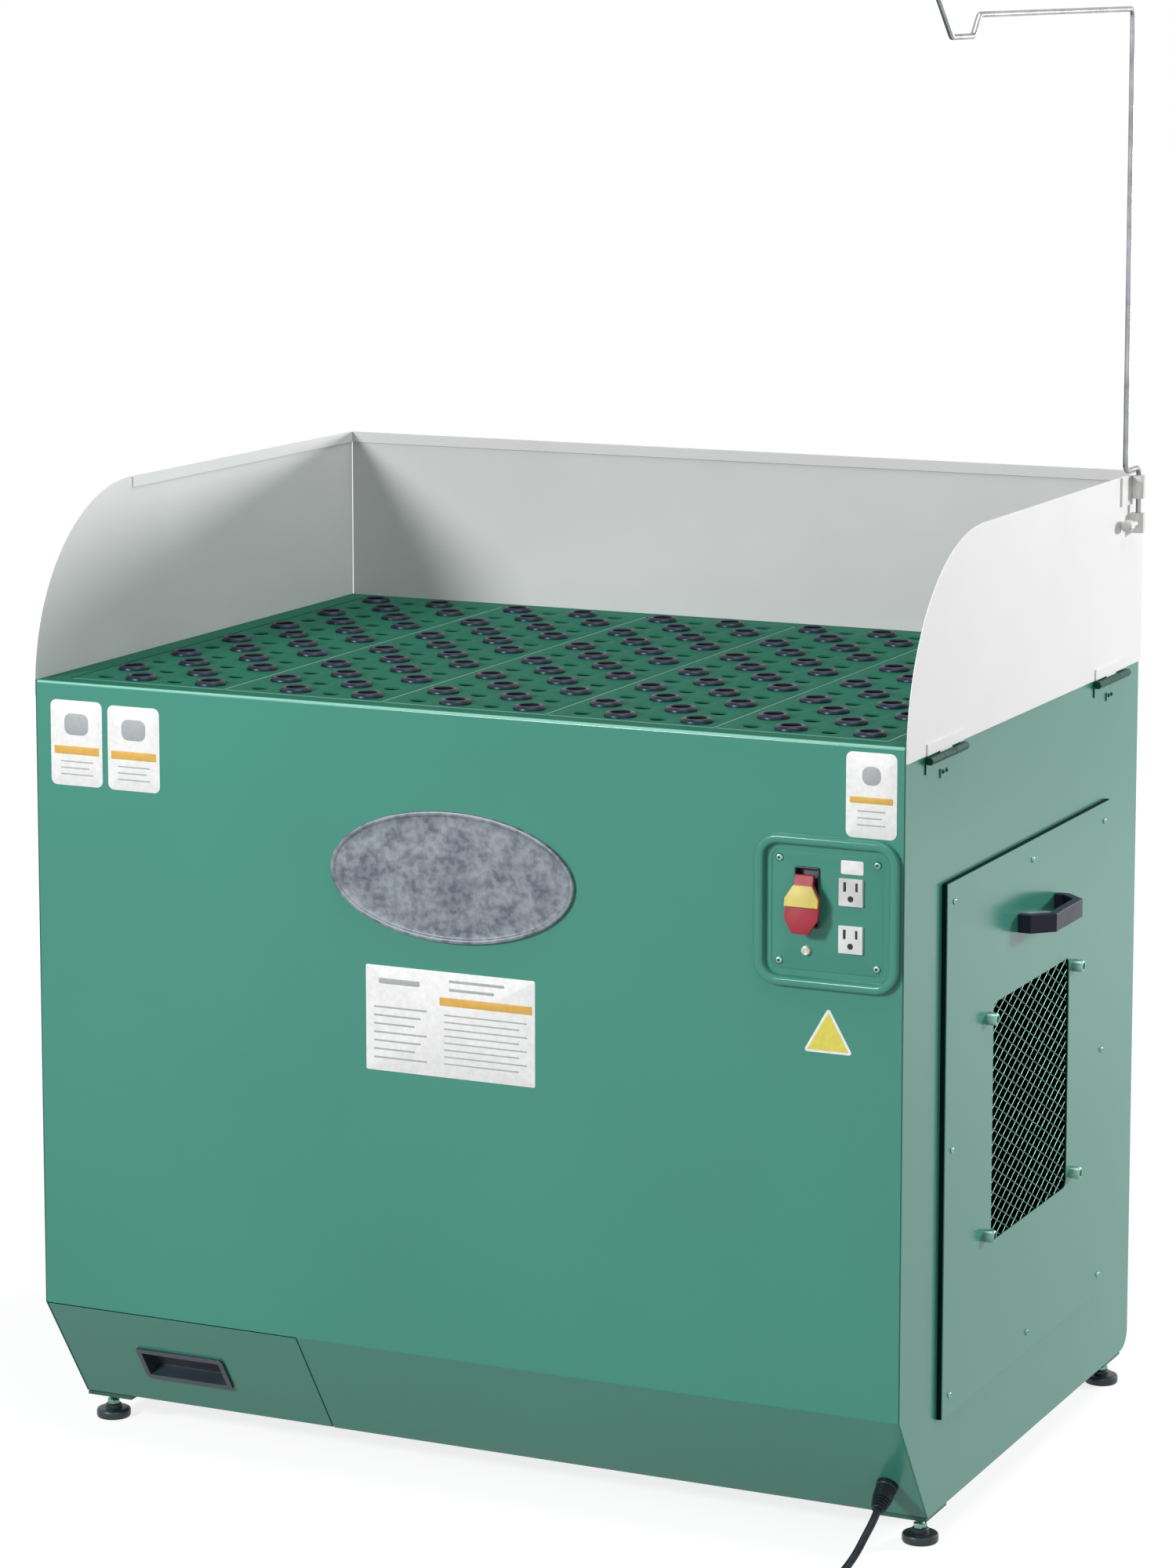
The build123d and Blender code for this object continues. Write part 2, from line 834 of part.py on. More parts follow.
def cover_handle():
    """Bow handle: short legs, chamfered corners and a straight grip, one section all along."""
    x0 = width + cover_stand + sheet
    half = handle_length / 2
    corner = handle_reach - handle_leg
    slope = handle_bar * tan(radians(45) / 2)
    outside = [
        (x0, -half),
        (x0 + handle_leg, -half),
        (x0 + handle_reach, -half + corner),
        (x0 + handle_reach, half - corner),
        (x0 + handle_leg, half),
        (x0, half),
    ]
    inside = [
        (x0, half - handle_bar),
        (x0 + handle_leg - slope, half - handle_bar),
        (x0 + handle_reach - handle_bar, half - corner - slope),
        (x0 + handle_reach - handle_bar, corner + slope - half),
        (x0 + handle_leg - slope, handle_bar - half),
        (x0, handle_bar - half),
    ]
    face = make_face(Polyline(*outside, *inside, close=True))
    return extrude(Pos(0, handle_y, handle_z - handle_height / 2) * face, handle_height)


def cover_screw_places():
    """(y, z) of the pan screws: three along the top and bottom, one half way up each side."""
    front, back = cover_front + screw_inset_y, cover_back - screw_inset_y
    low, high = cover_bottom + screw_inset_z, cover_top - screw_inset_z
    middle_y, middle_z = (front + back) / 2, (low + high) / 2
    ends = [(y, z) for z in (low, high) for y in (front, middle_y, back)]
    return ends + [(front, middle_z), (back, middle_z)]


def cover_screws():
    x0 = width + cover_stand + sheet
    head = RegularPolygon(screw_head, screw_sides)
    screws = []
    for y, z in cover_screw_places():
        plane = Plane((x0, y, z), x_dir=(0, 1, 0), z_dir=(1, 0, 0))
        screws.append(extrude(plane * head, screw_stand))
    return screws


def exhaust_mesh():
    """Expanded metal behind the window: diamond holes in staggered rows, in a plain margin."""
    x1 = width + cover_stand
    y0, y1 = window_front - mesh_margin, window_back + mesh_margin
    z0, z1 = window_bottom - mesh_margin, window_top + mesh_margin
    sheet_face = Pos((y0 + y1) / 2, (z0 + z1) / 2) * Rectangle(y1 - y0, z1 - z0)
    cell_y = (window_back - window_front) / mesh_columns
    cell_z = (window_top - window_bottom) / mesh_rows
    half_y = cell_y / 2 - mesh_strand
    half_z = cell_z - mesh_strand
    diamond = make_face(Polyline((half_y, 0), (0, half_z), (-half_y, 0), (0, -half_z), close=True))
    for row in range(1, mesh_rows):
        stagger = row % 2
        for column in range(mesh_columns - stagger):
            y = window_front + cell_y * (column + (1 + stagger) / 2)
            sheet_face -= Pos(y, window_bottom + row * cell_z) * diamond
    return extrude(Plane.YZ.offset(x1 - mesh_sheet) * sheet_face, mesh_sheet)


def mesh_studs():
    """Round nuts on the four studs that hold the mesh, beside the window's corners."""
    x0 = width + cover_stand + sheet
    studs = []
    for y in (window_front - stud_offset, window_back + stud_offset):
        for z in (window_bottom + stud_inset, window_top - stud_inset):
            plane = Plane((x0, y, z), x_dir=(0, 1, 0), z_dir=(1, 0, 0))
            studs.append(extrude(plane * Circle(stud_radius), stud_stand))
    return studs


# Control panel


def control_bezel():
    """Pressed ridge round the controls, chamfered inside and out."""
    outer = control_square(bezel_size, bezel_radius)
    inner = control_square(bezel_size - 2 * bezel_ridge, bezel_radius - bezel_ridge)
    ridge = extrude(Plane.XZ * (outer - inner), bezel_stand)
    front = ridge.faces().sort_by(Axis.Y)[0]
    return chamfer(front.edges(), bezel_chamfer)


def control_plate():
    """Plate behind the panel, with holes for the switch, the outlets and the button."""
    size = bezel_size - 2 * bezel_ridge + 2 * plate_margin
    face = Pos(control_x, control_z) * Rectangle(size, size)
    face -= Pos(switch_x, switch_z) * Rectangle(switch_width, switch_height)
    for z in (outlet_upper_z, outlet_lower_z):
        face -= Pos(outlet_x, z) * Rectangle(outlet_width, outlet_tall)
    face -= Pos(reset_x, reset_z) * RegularPolygon(reset_radius + fit_gap, reset_sides)
    return extrude(Plane.XZ.offset(-2 * sheet) * face, sheet)


def plate_screws():
    head = RegularPolygon(plate_screw_head, screw_sides)
    half = plate_screw_pitch / 2
    screws = []
    for x in (-half, half):
        for z in (-half, half):
            place = Pos(control_x + x, control_z + z)
            screws.append(extrude(Plane.XZ.offset(-sheet) * place * head, plate_screw_stand))
    return screws


def junction_box():
    """Open box behind the plate for the wiring."""
    half = junction_size / 2
    y0 = 2 * sheet
    box = block(control_x - half, control_x + half, y0, y0 + junction_depth,
                control_z - half, control_z + half)
    inner = half - sheet
    return box - block(control_x - inner, control_x + inner, y0 - overrun,
                       y0 + junction_depth - sheet, control_z - inner, control_z + inner)


def switch_body():
    """Switch case in the plate, with an open pocket for the toggle's stem."""
    half = switch_width / 2
    y0 = sheet - switch_stand
    case = block(switch_x - half, switch_x + half, y0, y0 + switch_depth,
                 switch_z - switch_height / 2, switch_z + switch_height / 2)
    inner = half - switch_wall
    pocket = switch_height / 2 - switch_wall
    return case - block(switch_x - inner, switch_x + inner, y0 - overrun,
                        y0 + switch_depth / 2, switch_z - pocket, switch_z + pocket)


def toggle_front():
    """y of the toggle's face."""
    return sheet - switch_stand - toggle_stand


def toggle_pivot_y():
    """y of the pin on which the toggle rocks, inside the switch."""
    return sheet - switch_stand + toggle_pivot_depth


def toggle_half_outline(top_only):
    """(x, z) points of the toggle's face, from the neck down, about the switch."""
    half = toggle_width / 2
    upper = [
        (-half, 0),
        (-half, toggle_shoulder),
        (-toggle_neck / 2, toggle_rise),
        (toggle_neck / 2, toggle_rise),
        (half, toggle_shoulder),
        (half, 0),
    ]
    if top_only:
        return upper
    lower = [
        (half, -toggle_drop),
        (toggle_tip / 2, -toggle_tail),
        (-toggle_tip / 2, -toggle_tail),
        (-half, -toggle_drop),
    ]
    return upper + lower


def switch_toggle():
    """Red rocker: eight-sided paddle with a head above it, on a stem in the switch."""
    y0 = toggle_front()
    points = [(switch_x + x, switch_z + z) for x, z in toggle_half_outline(False)]
    paddle = prism_y(points, y0, y0 + toggle_sheet)
    head = toggle_head / 2
    top = switch_z + toggle_rise
    paddle += block(switch_x - head, switch_x + head, y0, y0 + toggle_sheet, top,
                    top + toggle_head_height)
    stem = toggle_stem / 2
    paddle += block(switch_x - stem, switch_x + stem, y0 + toggle_sheet,
                    sheet - switch_stand + switch_depth / 2 - toggle_travel, switch_z - stem,
                    switch_z + stem)
    reach = switch_width / 2 - switch_wall - fit_gap
    pivot = Plane((switch_x - reach, toggle_pivot_y(), switch_z), z_dir=(1, 0, 0))
    paddle += extrude(pivot * RegularPolygon(toggle_pivot_radius, hole_sides), 2 * reach)
    half = key_tongue / 2 + fit_gap
    deep = key_tongue_depth + fit_gap
    return paddle - block(switch_x - half, switch_x + half, y0 - overrun, y0 + deep,
                          switch_z + toggle_shoulder - half, switch_z + toggle_shoulder + half)


def switch_key():
    """Yellow lock-out key: a plate over the upper half of the toggle, with a tongue."""
    y1 = toggle_front() - fit_gap
    points = [(switch_x + x, switch_z + z) for x, z in toggle_half_outline(True)]
    key = prism_y(points, y1 - key_sheet, y1)
    half = key_tongue / 2
    centre = switch_z + toggle_shoulder
    return key + block(switch_x - half, switch_x + half, y1, y1 + key_tongue_depth,
                       centre - half, centre + half)


def reset_button():
    plane = Plane.XZ.offset(reset_stand - sheet)
    outline = Pos(reset_x, reset_z) * RegularPolygon(reset_radius, reset_sides)
    return extrude(plane * outline, -reset_stand - reset_stem)


def receptacles():
    """Two outlets, each with two blade slots over a round earth hole."""
    outlets = []
    front = sheet - outlet_stand
    for z in (outlet_upper_z, outlet_lower_z):
        half_x, half_z = outlet_width / 2, outlet_tall / 2
        body = block(outlet_x - half_x, outlet_x + half_x, front, front + outlet_body,
                     z - half_z, z + half_z)
        slots = Sketch()
        for side in (-1, 1):
            place = Pos(outlet_x + side * slot_pitch / 2, z + ground_drop / 2)
            slots += place * Rectangle(slot_width, slot_tall)
        slots += Pos(outlet_x, z - ground_drop / 2) * RegularPolygon(ground_radius, hole_sides)
        outlets.append(body - extrude(Plane.XZ.offset(-front) * slots, -slot_depth))
    return outlets


# Dust drawer


def drawer_tray():
    """Open tray whose front wall follows the slanted toe, cut for the recessed pull."""
    outer = [
        (toe_y(tray_bottom, sheet), tray_bottom),
        (toe_y(tray_top, sheet), tray_top),
        (tray_back, tray_top),
        (tray_back, tray_bottom),
    ]
    skin = sheet + tray_wall
    over = tray_top + overrun
    floor = tray_bottom + tray_wall
    inner = [
        (toe_y(floor, skin), floor),
        (toe_y(over, skin), over),
        (tray_back - tray_wall, over),
        (tray_back - tray_wall, floor),
    ]
    tray = prism_x(outer, tray_left, tray_right)
    tray -= prism_x(inner, tray_left + tray_wall, tray_right - tray_wall)
    return tray - pull_hole()


def pull_hole():
    """Clearance round the pull's pocket."""
    wide = pull_width - 2 * pull_rim + 2 * (pull_wall + fit_gap)
    tall = pull_height - 2 * pull_rim + 2 * (pull_wall + fit_gap)
    return extrude(toe_plane(pull_x, pull_z) * Rectangle(wide, tall), -pull_depth, both=True)


def drawer_front():
    """Front plate of the drawer, flush with the toe, with a fold down each side."""
    low, high = floor_gap + seam / 2, kink - seam
    plate = [
        (toe_y(low), low),
        (toe_y(high), high),
        (toe_y(high, sheet), high),
        (toe_y(low, sheet), low),
    ]
    fold = [
        (toe_y(low, sheet), low),
        (toe_y(high, sheet), high),
        (toe_y(high, drawer_fold), high),
        (toe_y(low, drawer_fold), low),
    ]
    left = inside_left + guard_gap
    right = drawer_right - seam / 2
    front = prism_x(plate, left, right)
    front += prism_x(fold, left, left + sheet)
    front += prism_x(fold, right - sheet, right)
    return front - pull_hole()


def drawer_pull():
    """Recessed pull: a rim on the drawer front and a pocket behind it."""
    plane = toe_plane(pull_x, pull_z)
    wide, tall = pull_width - 2 * pull_rim, pull_height - 2 * pull_rim
    pull = extrude(plane * RectangleRounded(pull_width, pull_height, pull_radius), pull_stand)
    pull += extrude(plane * Rectangle(wide + 2 * pull_wall, tall + 2 * pull_wall), -pull_depth)
    pocket = plane.offset(pull_wall - pull_depth) * Rectangle(wide, tall)
    return pull - extrude(pocket, pull_depth + pull_stand)


def drawer_runners():
    """Two rails on the base pan that carry the tray."""
    rails = []
    shelf = tray_bottom - fit_gap
    for outer, inner in ((tray_left - sheet, 1), (tray_right + sheet, -1)):
        web = sorted((outer, outer - inner * sheet))
        foot = sorted((outer - inner * sheet, outer + inner * runner_width))
        rail = block(web[0], web[1], runner_front, runner_back, pan_top, shelf + runner_lip)
        rail += block(foot[0], foot[1], runner_front, runner_back, shelf - sheet, shelf)
        rails.append(rail)
    return rails


# Splash guards


def hinge_axis_z():
    return table_height - guard_overlap - axis_drop


def right_guard():
    """Side guard: a sheet with a quarter round front corner and a folded hem on top."""
    low = table_height - guard_overlap
    radius = guard_front_radius
    front = Polyline((radius, guard_top), (depth, guard_top), (depth, low), (0, low),
                     (0, guard_top - radius))
    arc = CenterArc((radius, guard_top - radius), radius, 90, 90)
    plate = extrude(Plane.YZ.offset(width) * make_face([front, arc]), sheet)
    hem = block(width - sheet, width, hem_start, depth - 2 * sheet - guard_gap,
                guard_top - hem_height, guard_top)
    return plate + hem


def back_guard():
    """Back guard: a sheet with a hem on top and a fold at each end."""
    low = table_height - guard_overlap
    left, right = guard_gap, width - guard_gap
    plate = block(left, right, depth, depth + sheet, low, guard_top)
    plate += block(left, right, depth - sheet, depth, guard_top - hem_height, guard_top)
    for x in (left, right - sheet):
        plate += block(x, x + sheet, depth, depth + guard_end_fold, low, guard_top)
    return plate


def hinge_bar(outline, y0, y1):
    """Length of a hinge's barrel, pin or bore along y, on the axis x = z = 0."""
    plane = Plane((0, y0, 0), x_dir=(1, 0, 0), z_dir=(0, 1, 0))
    return extrude(plane * outline, y1 - y0)


def knuckle(y0, y1):
    return hinge_bar(RegularPolygon(knuckle_radius, knuckle_sides), y0, y1)


def cabinet_leaf():
    """Fixed half of a hinge about its own axis: leaf, tongue, two outer knuckles and the pin."""
    third = hinge_length / 3
    half = hinge_length / 2
    face = -knuckle_radius
    leaf = block(face, face + hinge_leaf, -half, half, -leaf_down, -knuckle_radius)
    leaf += block(face, face + hinge_leaf, -tongue_width / 2, tongue_width / 2,
                  -leaf_down - tongue_drop, -leaf_down)
    for y0, y1 in ((-half, -half + third), (half - third, half)):
        leaf += block(face, face + hinge_leaf, y0, y1, -knuckle_radius, 0)
        leaf += knuckle(y0, y1)
    return leaf + hinge_bar(RegularPolygon(pin_radius, pin_sides), -half, half)


def guard_leaf():
    """Moving half of a hinge: leaf on the guard's face and the middle knuckle."""
    third = hinge_length / 3
    half = hinge_length / 2
    face = sheet - knuckle_radius
    clear = axis_drop + fit_gap
    leaf = block(face, face + hinge_leaf, -half, half, clear, leaf_up)
    y0, y1 = -half + third + knuckle_gap, half - third - knuckle_gap
    leaf += block(face, face + hinge_leaf, y0, y1, 0, clear)
    leaf += knuckle(y0, y1)
    bore = RegularPolygon(pin_radius + running_gap, pin_sides, major_radius=False)
    return leaf - hinge_bar(bore, y0, y1)


def side_hinge_places(x):
    """Places of the two hinges of a side guard."""
    z = hinge_axis_z()
    return [Location((x, y, z)) for y in (hinge_side_inset, depth - hinge_side_inset)]


def back_hinge_places():
    """Places of the three hinges of the back guard, turned to face backwards."""
    z = hinge_axis_z()
    y = depth + knuckle_radius
    places = (hinge_back_inset, width / 2, width - hinge_back_inset)
    return [Location((x, y, z), (0, 0, 90)) for x in places]


def hinges_of(leaf):
    """Right, left and back sets of one kind of leaf."""
    right = [place * leaf for place in side_hinge_places(width + knuckle_radius)]
    left = [mirror(item, about=Plane.YZ.offset(width / 2)) for item in right]
    back = [place * leaf for place in back_hinge_places()]
    return right, left, back


# Hanger


def hanger_rod():
    """Round rod: leg in the fittings, jog over the guard, upright, arm and open hook."""
    x = width + rod_offset
    points = [
        (x, rod_y, rod_foot),
        (x, rod_y, rod_jog_z),
        (x, rod_y - rod_jog, rod_jog_z),
        (x, rod_y - rod_jog, rod_top),
        (x, rod_arm_end, rod_top),
        (x, hook_back, rod_top - hook_drop),
        (x, hook_front, rod_top - hook_drop),
        (x, hook_tip_y, rod_top + hook_tip_rise),
    ]
    radii = [rod_bend, rod_bend, rod_bend, hook_bend, hook_bend, hook_bend]
    path = FilletPolyline(*points, radius=radii)
    start = Plane(origin=path @ 0, x_dir=(1, 0, 0), z_dir=path % 0)
    return sweep(start * RegularPolygon(rod_radius, rod_sides), path)


def rod_fittings():
    """Upper sleeve on its plate and lower boss on its pad, both bored for the rod."""
    x = width + rod_offset
    face = width + sheet
    bore = (rod_radius + running_gap) / cos(pi / rod_bore_sides)
    plate = block(face, face + sleeve_plate, sleeve_plate_front, rod_y, sleeve_plate_bottom,
                  sleeve_top)
    low, high = boss_bottom - overrun, sleeve_top + overrun
    rod_space = post(rod_bore_sides, bore, x, rod_y, low, high)
    sleeve = post(sleeve_sides, sleeve_radius, x, rod_y, sleeve_bottom, sleeve_top) + plate
    boss = block(face, x, rod_y - boss_pad / 2, rod_y + boss_pad / 2, boss_bottom, boss_top)
    boss += post(sleeve_sides, boss_radius - sheet, x, rod_y, boss_bottom, boss_top)
    screw = (knob_screw + running_gap) / cos(pi / rod_bore_sides)
    boss -= knob_bar(RegularPolygon(screw, rod_bore_sides), rod_y - boss_radius - overrun, rod_y)
    return [sleeve - rod_space, boss - rod_space]


def knob_bar(outline, y0, y1):
    """Bar along y on the thumb screw's axis."""
    plane = Plane((width + rod_offset, y0, knob_z), x_dir=(1, 0, 0), z_dir=(0, 1, 0))
    return extrude(plane * outline, y1 - y0)


def clamp_knob():
    """Thumb screw that locks the rod's leg."""
    knob_back = knob_front + knob_length
    knob = knob_bar(RegularPolygon(knob_radius, knob_sides), knob_front, knob_back)
    screw_end = rod_y - rod_radius - fit_gap
    return knob + knob_bar(RegularPolygon(knob_screw, rod_bore_sides), knob_back, screw_end)


# Feet


def levelling_foot(x, y):
    """Pad with a raised neck on a stud through the foot plate and the pan."""
    foot = post(foot_pad_sides, foot_radius, x, y, 0, foot_pad)
    foot += post(foot_stud_sides, foot_neck, x, y, foot_pad, foot_pad + foot_neck_height)
    top = pan_top + foot_stud_over
    return foot + post(foot_stud_sides, foot_stud, x, y, foot_pad, top)


# Badge


def badge_plate():
    """Plain oval plate with a raised rim."""
    outer = badge_oval(0)
    plate = extrude(Plane.XZ * outer, badge_sheet)
    rim = outer - badge_oval(badge_rim)
    return plate + extrude(Plane.XZ.offset(badge_sheet) * rim, badge_rim_stand)


def badge_oval(inset):
    """Ellipse in short chords, in the (x, z) plane."""
    points = []
    for i in range(badge_steps):
        angle = 2 * pi * i / badge_steps
        points.append((badge_x + (badge_half_width - inset) * cos(angle),
                       badge_z + (badge_half_height - inset) * sin(angle)))
    return make_face(Polyline(*points, close=True))


# Power cord


def strain_relief():
    """Tapered gland square to the toe: neck in the sheet, flange, barrel and cord end."""
    plane = toe_plane(gland_x, gland_z)
    body = extrude(plane * RegularPolygon(gland_body, gland_sides), gland_length)
    tip = body.faces().sort_by(Axis(plane.origin, plane.z_dir))[-1]
    body = chamfer(tip.edges(), gland_body - gland_end, gland_taper, reference=tip)
    body += extrude(plane * RegularPolygon(gland_base, gland_sides), gland_flange)
    return body + extrude(plane * RegularPolygon(gland_neck, foot_stud_sides), -2 * sheet)


def cord_route():
    """Hand chosen points from the gland down to the floor and along it to the coil."""
    plane = toe_plane(gland_x, gland_z)
    mouth = plane.offset(gland_length).origin
    first = plane.offset(gland_length + cord_first_run).origin
    return [
        tuple(mouth),
        tuple(first),
        (gland_x - 3.5, 4.0, 36.5),
        (gland_x - 8.0, -9.0, 21.5),
        (gland_x - 14.0, -27.0, 8.5),
        (gland_x - 18.5, -53.0, 4.1),
        (gland_x - 20.6, -97.0, cord_radius),
        (gland_x - 21.6, -145.0, cord_radius),
        (coil_x + coil_radius, -195.0, cord_radius),
        (coil_x + coil_radius, coil_y, cord_radius),
    ]


def corner_radii(points):
    """The largest arc that each corner of the route has room for."""
    radii = []
    for before, here, after in zip(points, points[1:], points[2:]):
        incoming = Vector(*here) - Vector(*before)
        outgoing = Vector(*after) - Vector(*here)
        half_turn = radians(incoming.get_angle(outgoing)) / 2
        run = min(incoming.length, outgoing.length)
        radii.append(bend_share * run / tan(half_turn))
    return radii


def cord_section(path):
    """Cord section at the start of a path."""
    start = Plane(origin=path @ 0, z_dir=path % 0)
    return start * RegularPolygon(cord_radius, cord_sides)


def power_cord():
    """Free stretch from the gland to the coil, and the straight tail to the plug."""
    points = cord_route()
    radii = corner_radii(points)
    path = FilletPolyline(*points, radius=radii)
    tube = sweep(cord_section(path), path)
    area = cord_section(path).area
    print("cord radii", [round(r, 1) for r in radii], "length", round(path.length, 1))
    print("cord volume over section times length", round(tube.volume / area / path.length, 4))
    end = coil_end()
    tail = Line(end, end - Vector(0, tail_length, 0))
    return [tube, sweep(cord_section(tail), tail)]


def coil_stations():
    """Half turns as (start, end, radius, rise): in along the floor, up, and out on top."""
    x = coil_x + coil_radius
    z = cord_radius
    radius = coil_radius
    side = -1
    stations = []
    for i in range(coil_half_turns_in + 1 + coil_half_turns_out):
        climbs = i == coil_half_turns_in
        rise = coil_pitch if climbs else 0
        start = Vector(x, coil_y, z)
        x += side * 2 * radius
        z += rise
        stations.append((start, Vector(x, coil_y, z), radius, rise))
        radius += coil_pitch / 2 if i >= coil_half_turns_in else -coil_pitch / 2
        side = -side
    return stations


def coil_end():
    """End of the last turn, with its straight length."""
    return coil_stations()[-1][1] - Vector(0, 2 * cord_radius, 0)


def cord_coil():
    """The rest of the cord as one tube of half turns, wound in two layers."""
    stations = coil_stations()
    along = Vector(0, -1, 0)
    edges = []
    for start, end, radius, rise in stations:
        middle = (start + end) / 2
        peak = middle + along * sqrt(radius**2 + (rise / 2) ** 2)
        first = Edge.make_tangent_arc(start, along, peak)
        second = Edge.make_tangent_arc(peak, first % 1, end)
        edges += [first, second]
        along = -along
    end = stations[-1][1]
    edges.append(Edge.make_line(end, coil_end()))
    path = Wire(edges)
    coil = sweep(cord_section(path), path)
    print("coil length", round(path.length, 1), "mean diameter",
          round(2 * sum(s[2] for s in stations) / len(stations), 1))
    print("least gap of the coil to itself", round(least_gap(edges), 2))
    return coil


def least_gap(edges):
    """Least distance between surfaces of different turns, on points along the tube."""
    samples = 12
    points = []
    run = 0.0
    for edge in edges:
        for i in range(samples):
            points.append((run + edge.length * i / samples, edge @ (i / samples)))
        run += edge.length
    apart = coil_radius * 2
    return min(
        (b - a).length for i, (s, a) in enumerate(points) for t, b in points[i:] if t - s > apart
    ) - 2 * cord_radius


def plug():
    """Moulded plug on the floor: tapered relief, body, two blades and a round earth pin."""
    start = coil_end() - Vector(0, tail_length, 0)
    plane = Plane(origin=start, x_dir=(1, 0, 0), z_dir=(0, -1, 0))
    body = extrude(plane * RegularPolygon(plug_relief_radius, gland_sides), plug_relief)
    shell = plane.offset(plug_relief)
    outline = make_face(Polyline(*rounded_points(plug_width, plug_height, plug_corner),
                                 close=True))
    body += extrude(shell * outline, plug_length)
    face = plane.offset(plug_relief + plug_length)
    for side in (-1, 1):
        blade = Pos(side * slot_pitch / 2, ground_drop / 2) * Rectangle(blade_gauge, blade_width)
        body += extrude(face * blade, blade_length)
    pin = Pos(0, -ground_drop / 2) * RegularPolygon(ground_radius, hole_sides)
    return body + extrude(face * pin, blade_length)


# All nodes by name

left_guard = mirror(right_guard(), about=Plane.YZ.offset(width / 2))
cabinet_leaves = hinges_of(cabinet_leaf())
guard_leaves = hinges_of(guard_leaf())
panel_shape = perforated_panel()
grommet_shapes = grommets()

nodes = {
    "left_side_panel": [side_panel()],
    "right_side_panel": [right_side_panel()],
    "front_panel": [front_panel()],
    "back_panel": [back_panel()],
    "base_pan": base_pan(),
    "top_frame": [top_frame()],
    "air_baffle": air_baffle(),
    "panel_filter": [panel_filter()],
    "filter_rails": filter_rails(),
    "blower_housing": [blower_housing()],
    "blower_wheel": [blower_wheel()],
    "motor": [motor()],
    "side_cover": [cover_plate()],
    "cover_gasket": [cover_gasket()],
    "cover_handle": [cover_handle()],
    "cover_screws": cover_screws(),
    "exhaust_mesh": [exhaust_mesh()],
    "mesh_studs": mesh_studs(),
    "control_bezel": [control_bezel()],
    "control_plate": [control_plate()],
    "plate_screws": plate_screws(),
    "junction_box": [junction_box()],
    "switch_body": [switch_body()],
    "switch_toggle": [switch_toggle()],
    "switch_key": [switch_key()],
    "reset_button": [reset_button()],
    "receptacles": receptacles(),
    "drawer_tray": [drawer_tray()],
    "drawer_front": [drawer_front()],
    "drawer_pull": [drawer_pull()],
    "drawer_runners": drawer_runners(),
    "left_guard": [left_guard],
    "right_guard": [right_guard()],
    "back_guard": [back_guard()],
    "hinge_brackets": [leaf for side in cabinet_leaves for leaf in side],
    "right_guard_leaves": guard_leaves[0],
    "left_guard_leaves": guard_leaves[1],
    "back_guard_leaves": guard_leaves[2],
    "hanger_rod": [hanger_rod()],
    "rod_fittings": rod_fittings(),
    "clamp_knob": [clamp_knob()],
    "badge_plate": [badge_plate()],
    "strain_relief": [strain_relief()],
}

for index in range(panel_count):
    place = panel_location(index)
    nodes[f"perforated_panel_{index + 1}"] = [place * panel_shape]
    nodes[f"rubber_grommets_{index + 1}"] = [place * ring for ring in grommet_shapes]

for side_name, foot_x in (("left", foot_side), ("right", width - foot_side)):
    for end_name, foot_y in (("front", foot_front), ("back", foot_back)):
        nodes[f"foot_{end_name}_{side_name}"] = [levelling_foot(foot_x, foot_y)]

cord_nodes = {
    "power_cord": power_cord(),
    "cord_coil": [cord_coil()],
    "plug": [plug()],
}

# Origin: on the floor, under the middle of the box of everything but the cord
corners = [solid.bounding_box() for solids in nodes.values() for solid in solids]
low_x, high_x = min(c.min.X for c in corners), max(c.max.X for c in corners)
low_y, high_y = min(c.min.Y for c in corners), max(c.max.Y for c in corners)
to_origin = Location((-(low_x + high_x) / 2, -(low_y + high_y) / 2, 0))

os.makedirs("parts", exist_ok=True)
for name, solids in {**nodes, **cord_nodes}.items():
    pieces = [to_origin * solid for item in solids for solid in item.solids()]
    shape = Compound(children=pieces) if len(pieces) > 1 else pieces[0]
    export_step(shape, f"parts/{name}.step")
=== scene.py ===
"""Downdraft table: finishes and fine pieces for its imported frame."""

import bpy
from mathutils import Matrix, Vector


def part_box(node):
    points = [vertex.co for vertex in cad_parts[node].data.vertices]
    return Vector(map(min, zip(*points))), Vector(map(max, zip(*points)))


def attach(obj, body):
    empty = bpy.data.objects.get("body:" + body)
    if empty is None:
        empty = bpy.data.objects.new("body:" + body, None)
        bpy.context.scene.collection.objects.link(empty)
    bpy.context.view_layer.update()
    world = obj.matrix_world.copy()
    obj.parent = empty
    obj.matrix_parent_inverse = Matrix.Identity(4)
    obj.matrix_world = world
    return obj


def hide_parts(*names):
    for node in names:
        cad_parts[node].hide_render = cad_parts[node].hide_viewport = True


bl_info = {
    "name": "Downdraft Table",
    "version": (1, 0, 0),
    "blender": (4, 5, 0),
    "location": "View3D > Sidebar > Downdraft Table",
    "description": "Dresses a sheet steel downdraft table: paint, rings, mesh, labels, fittings and cord",
    "category": "Add Mesh",
}

import bmesh
import bpy
import numpy as np
from mathutils import Matrix

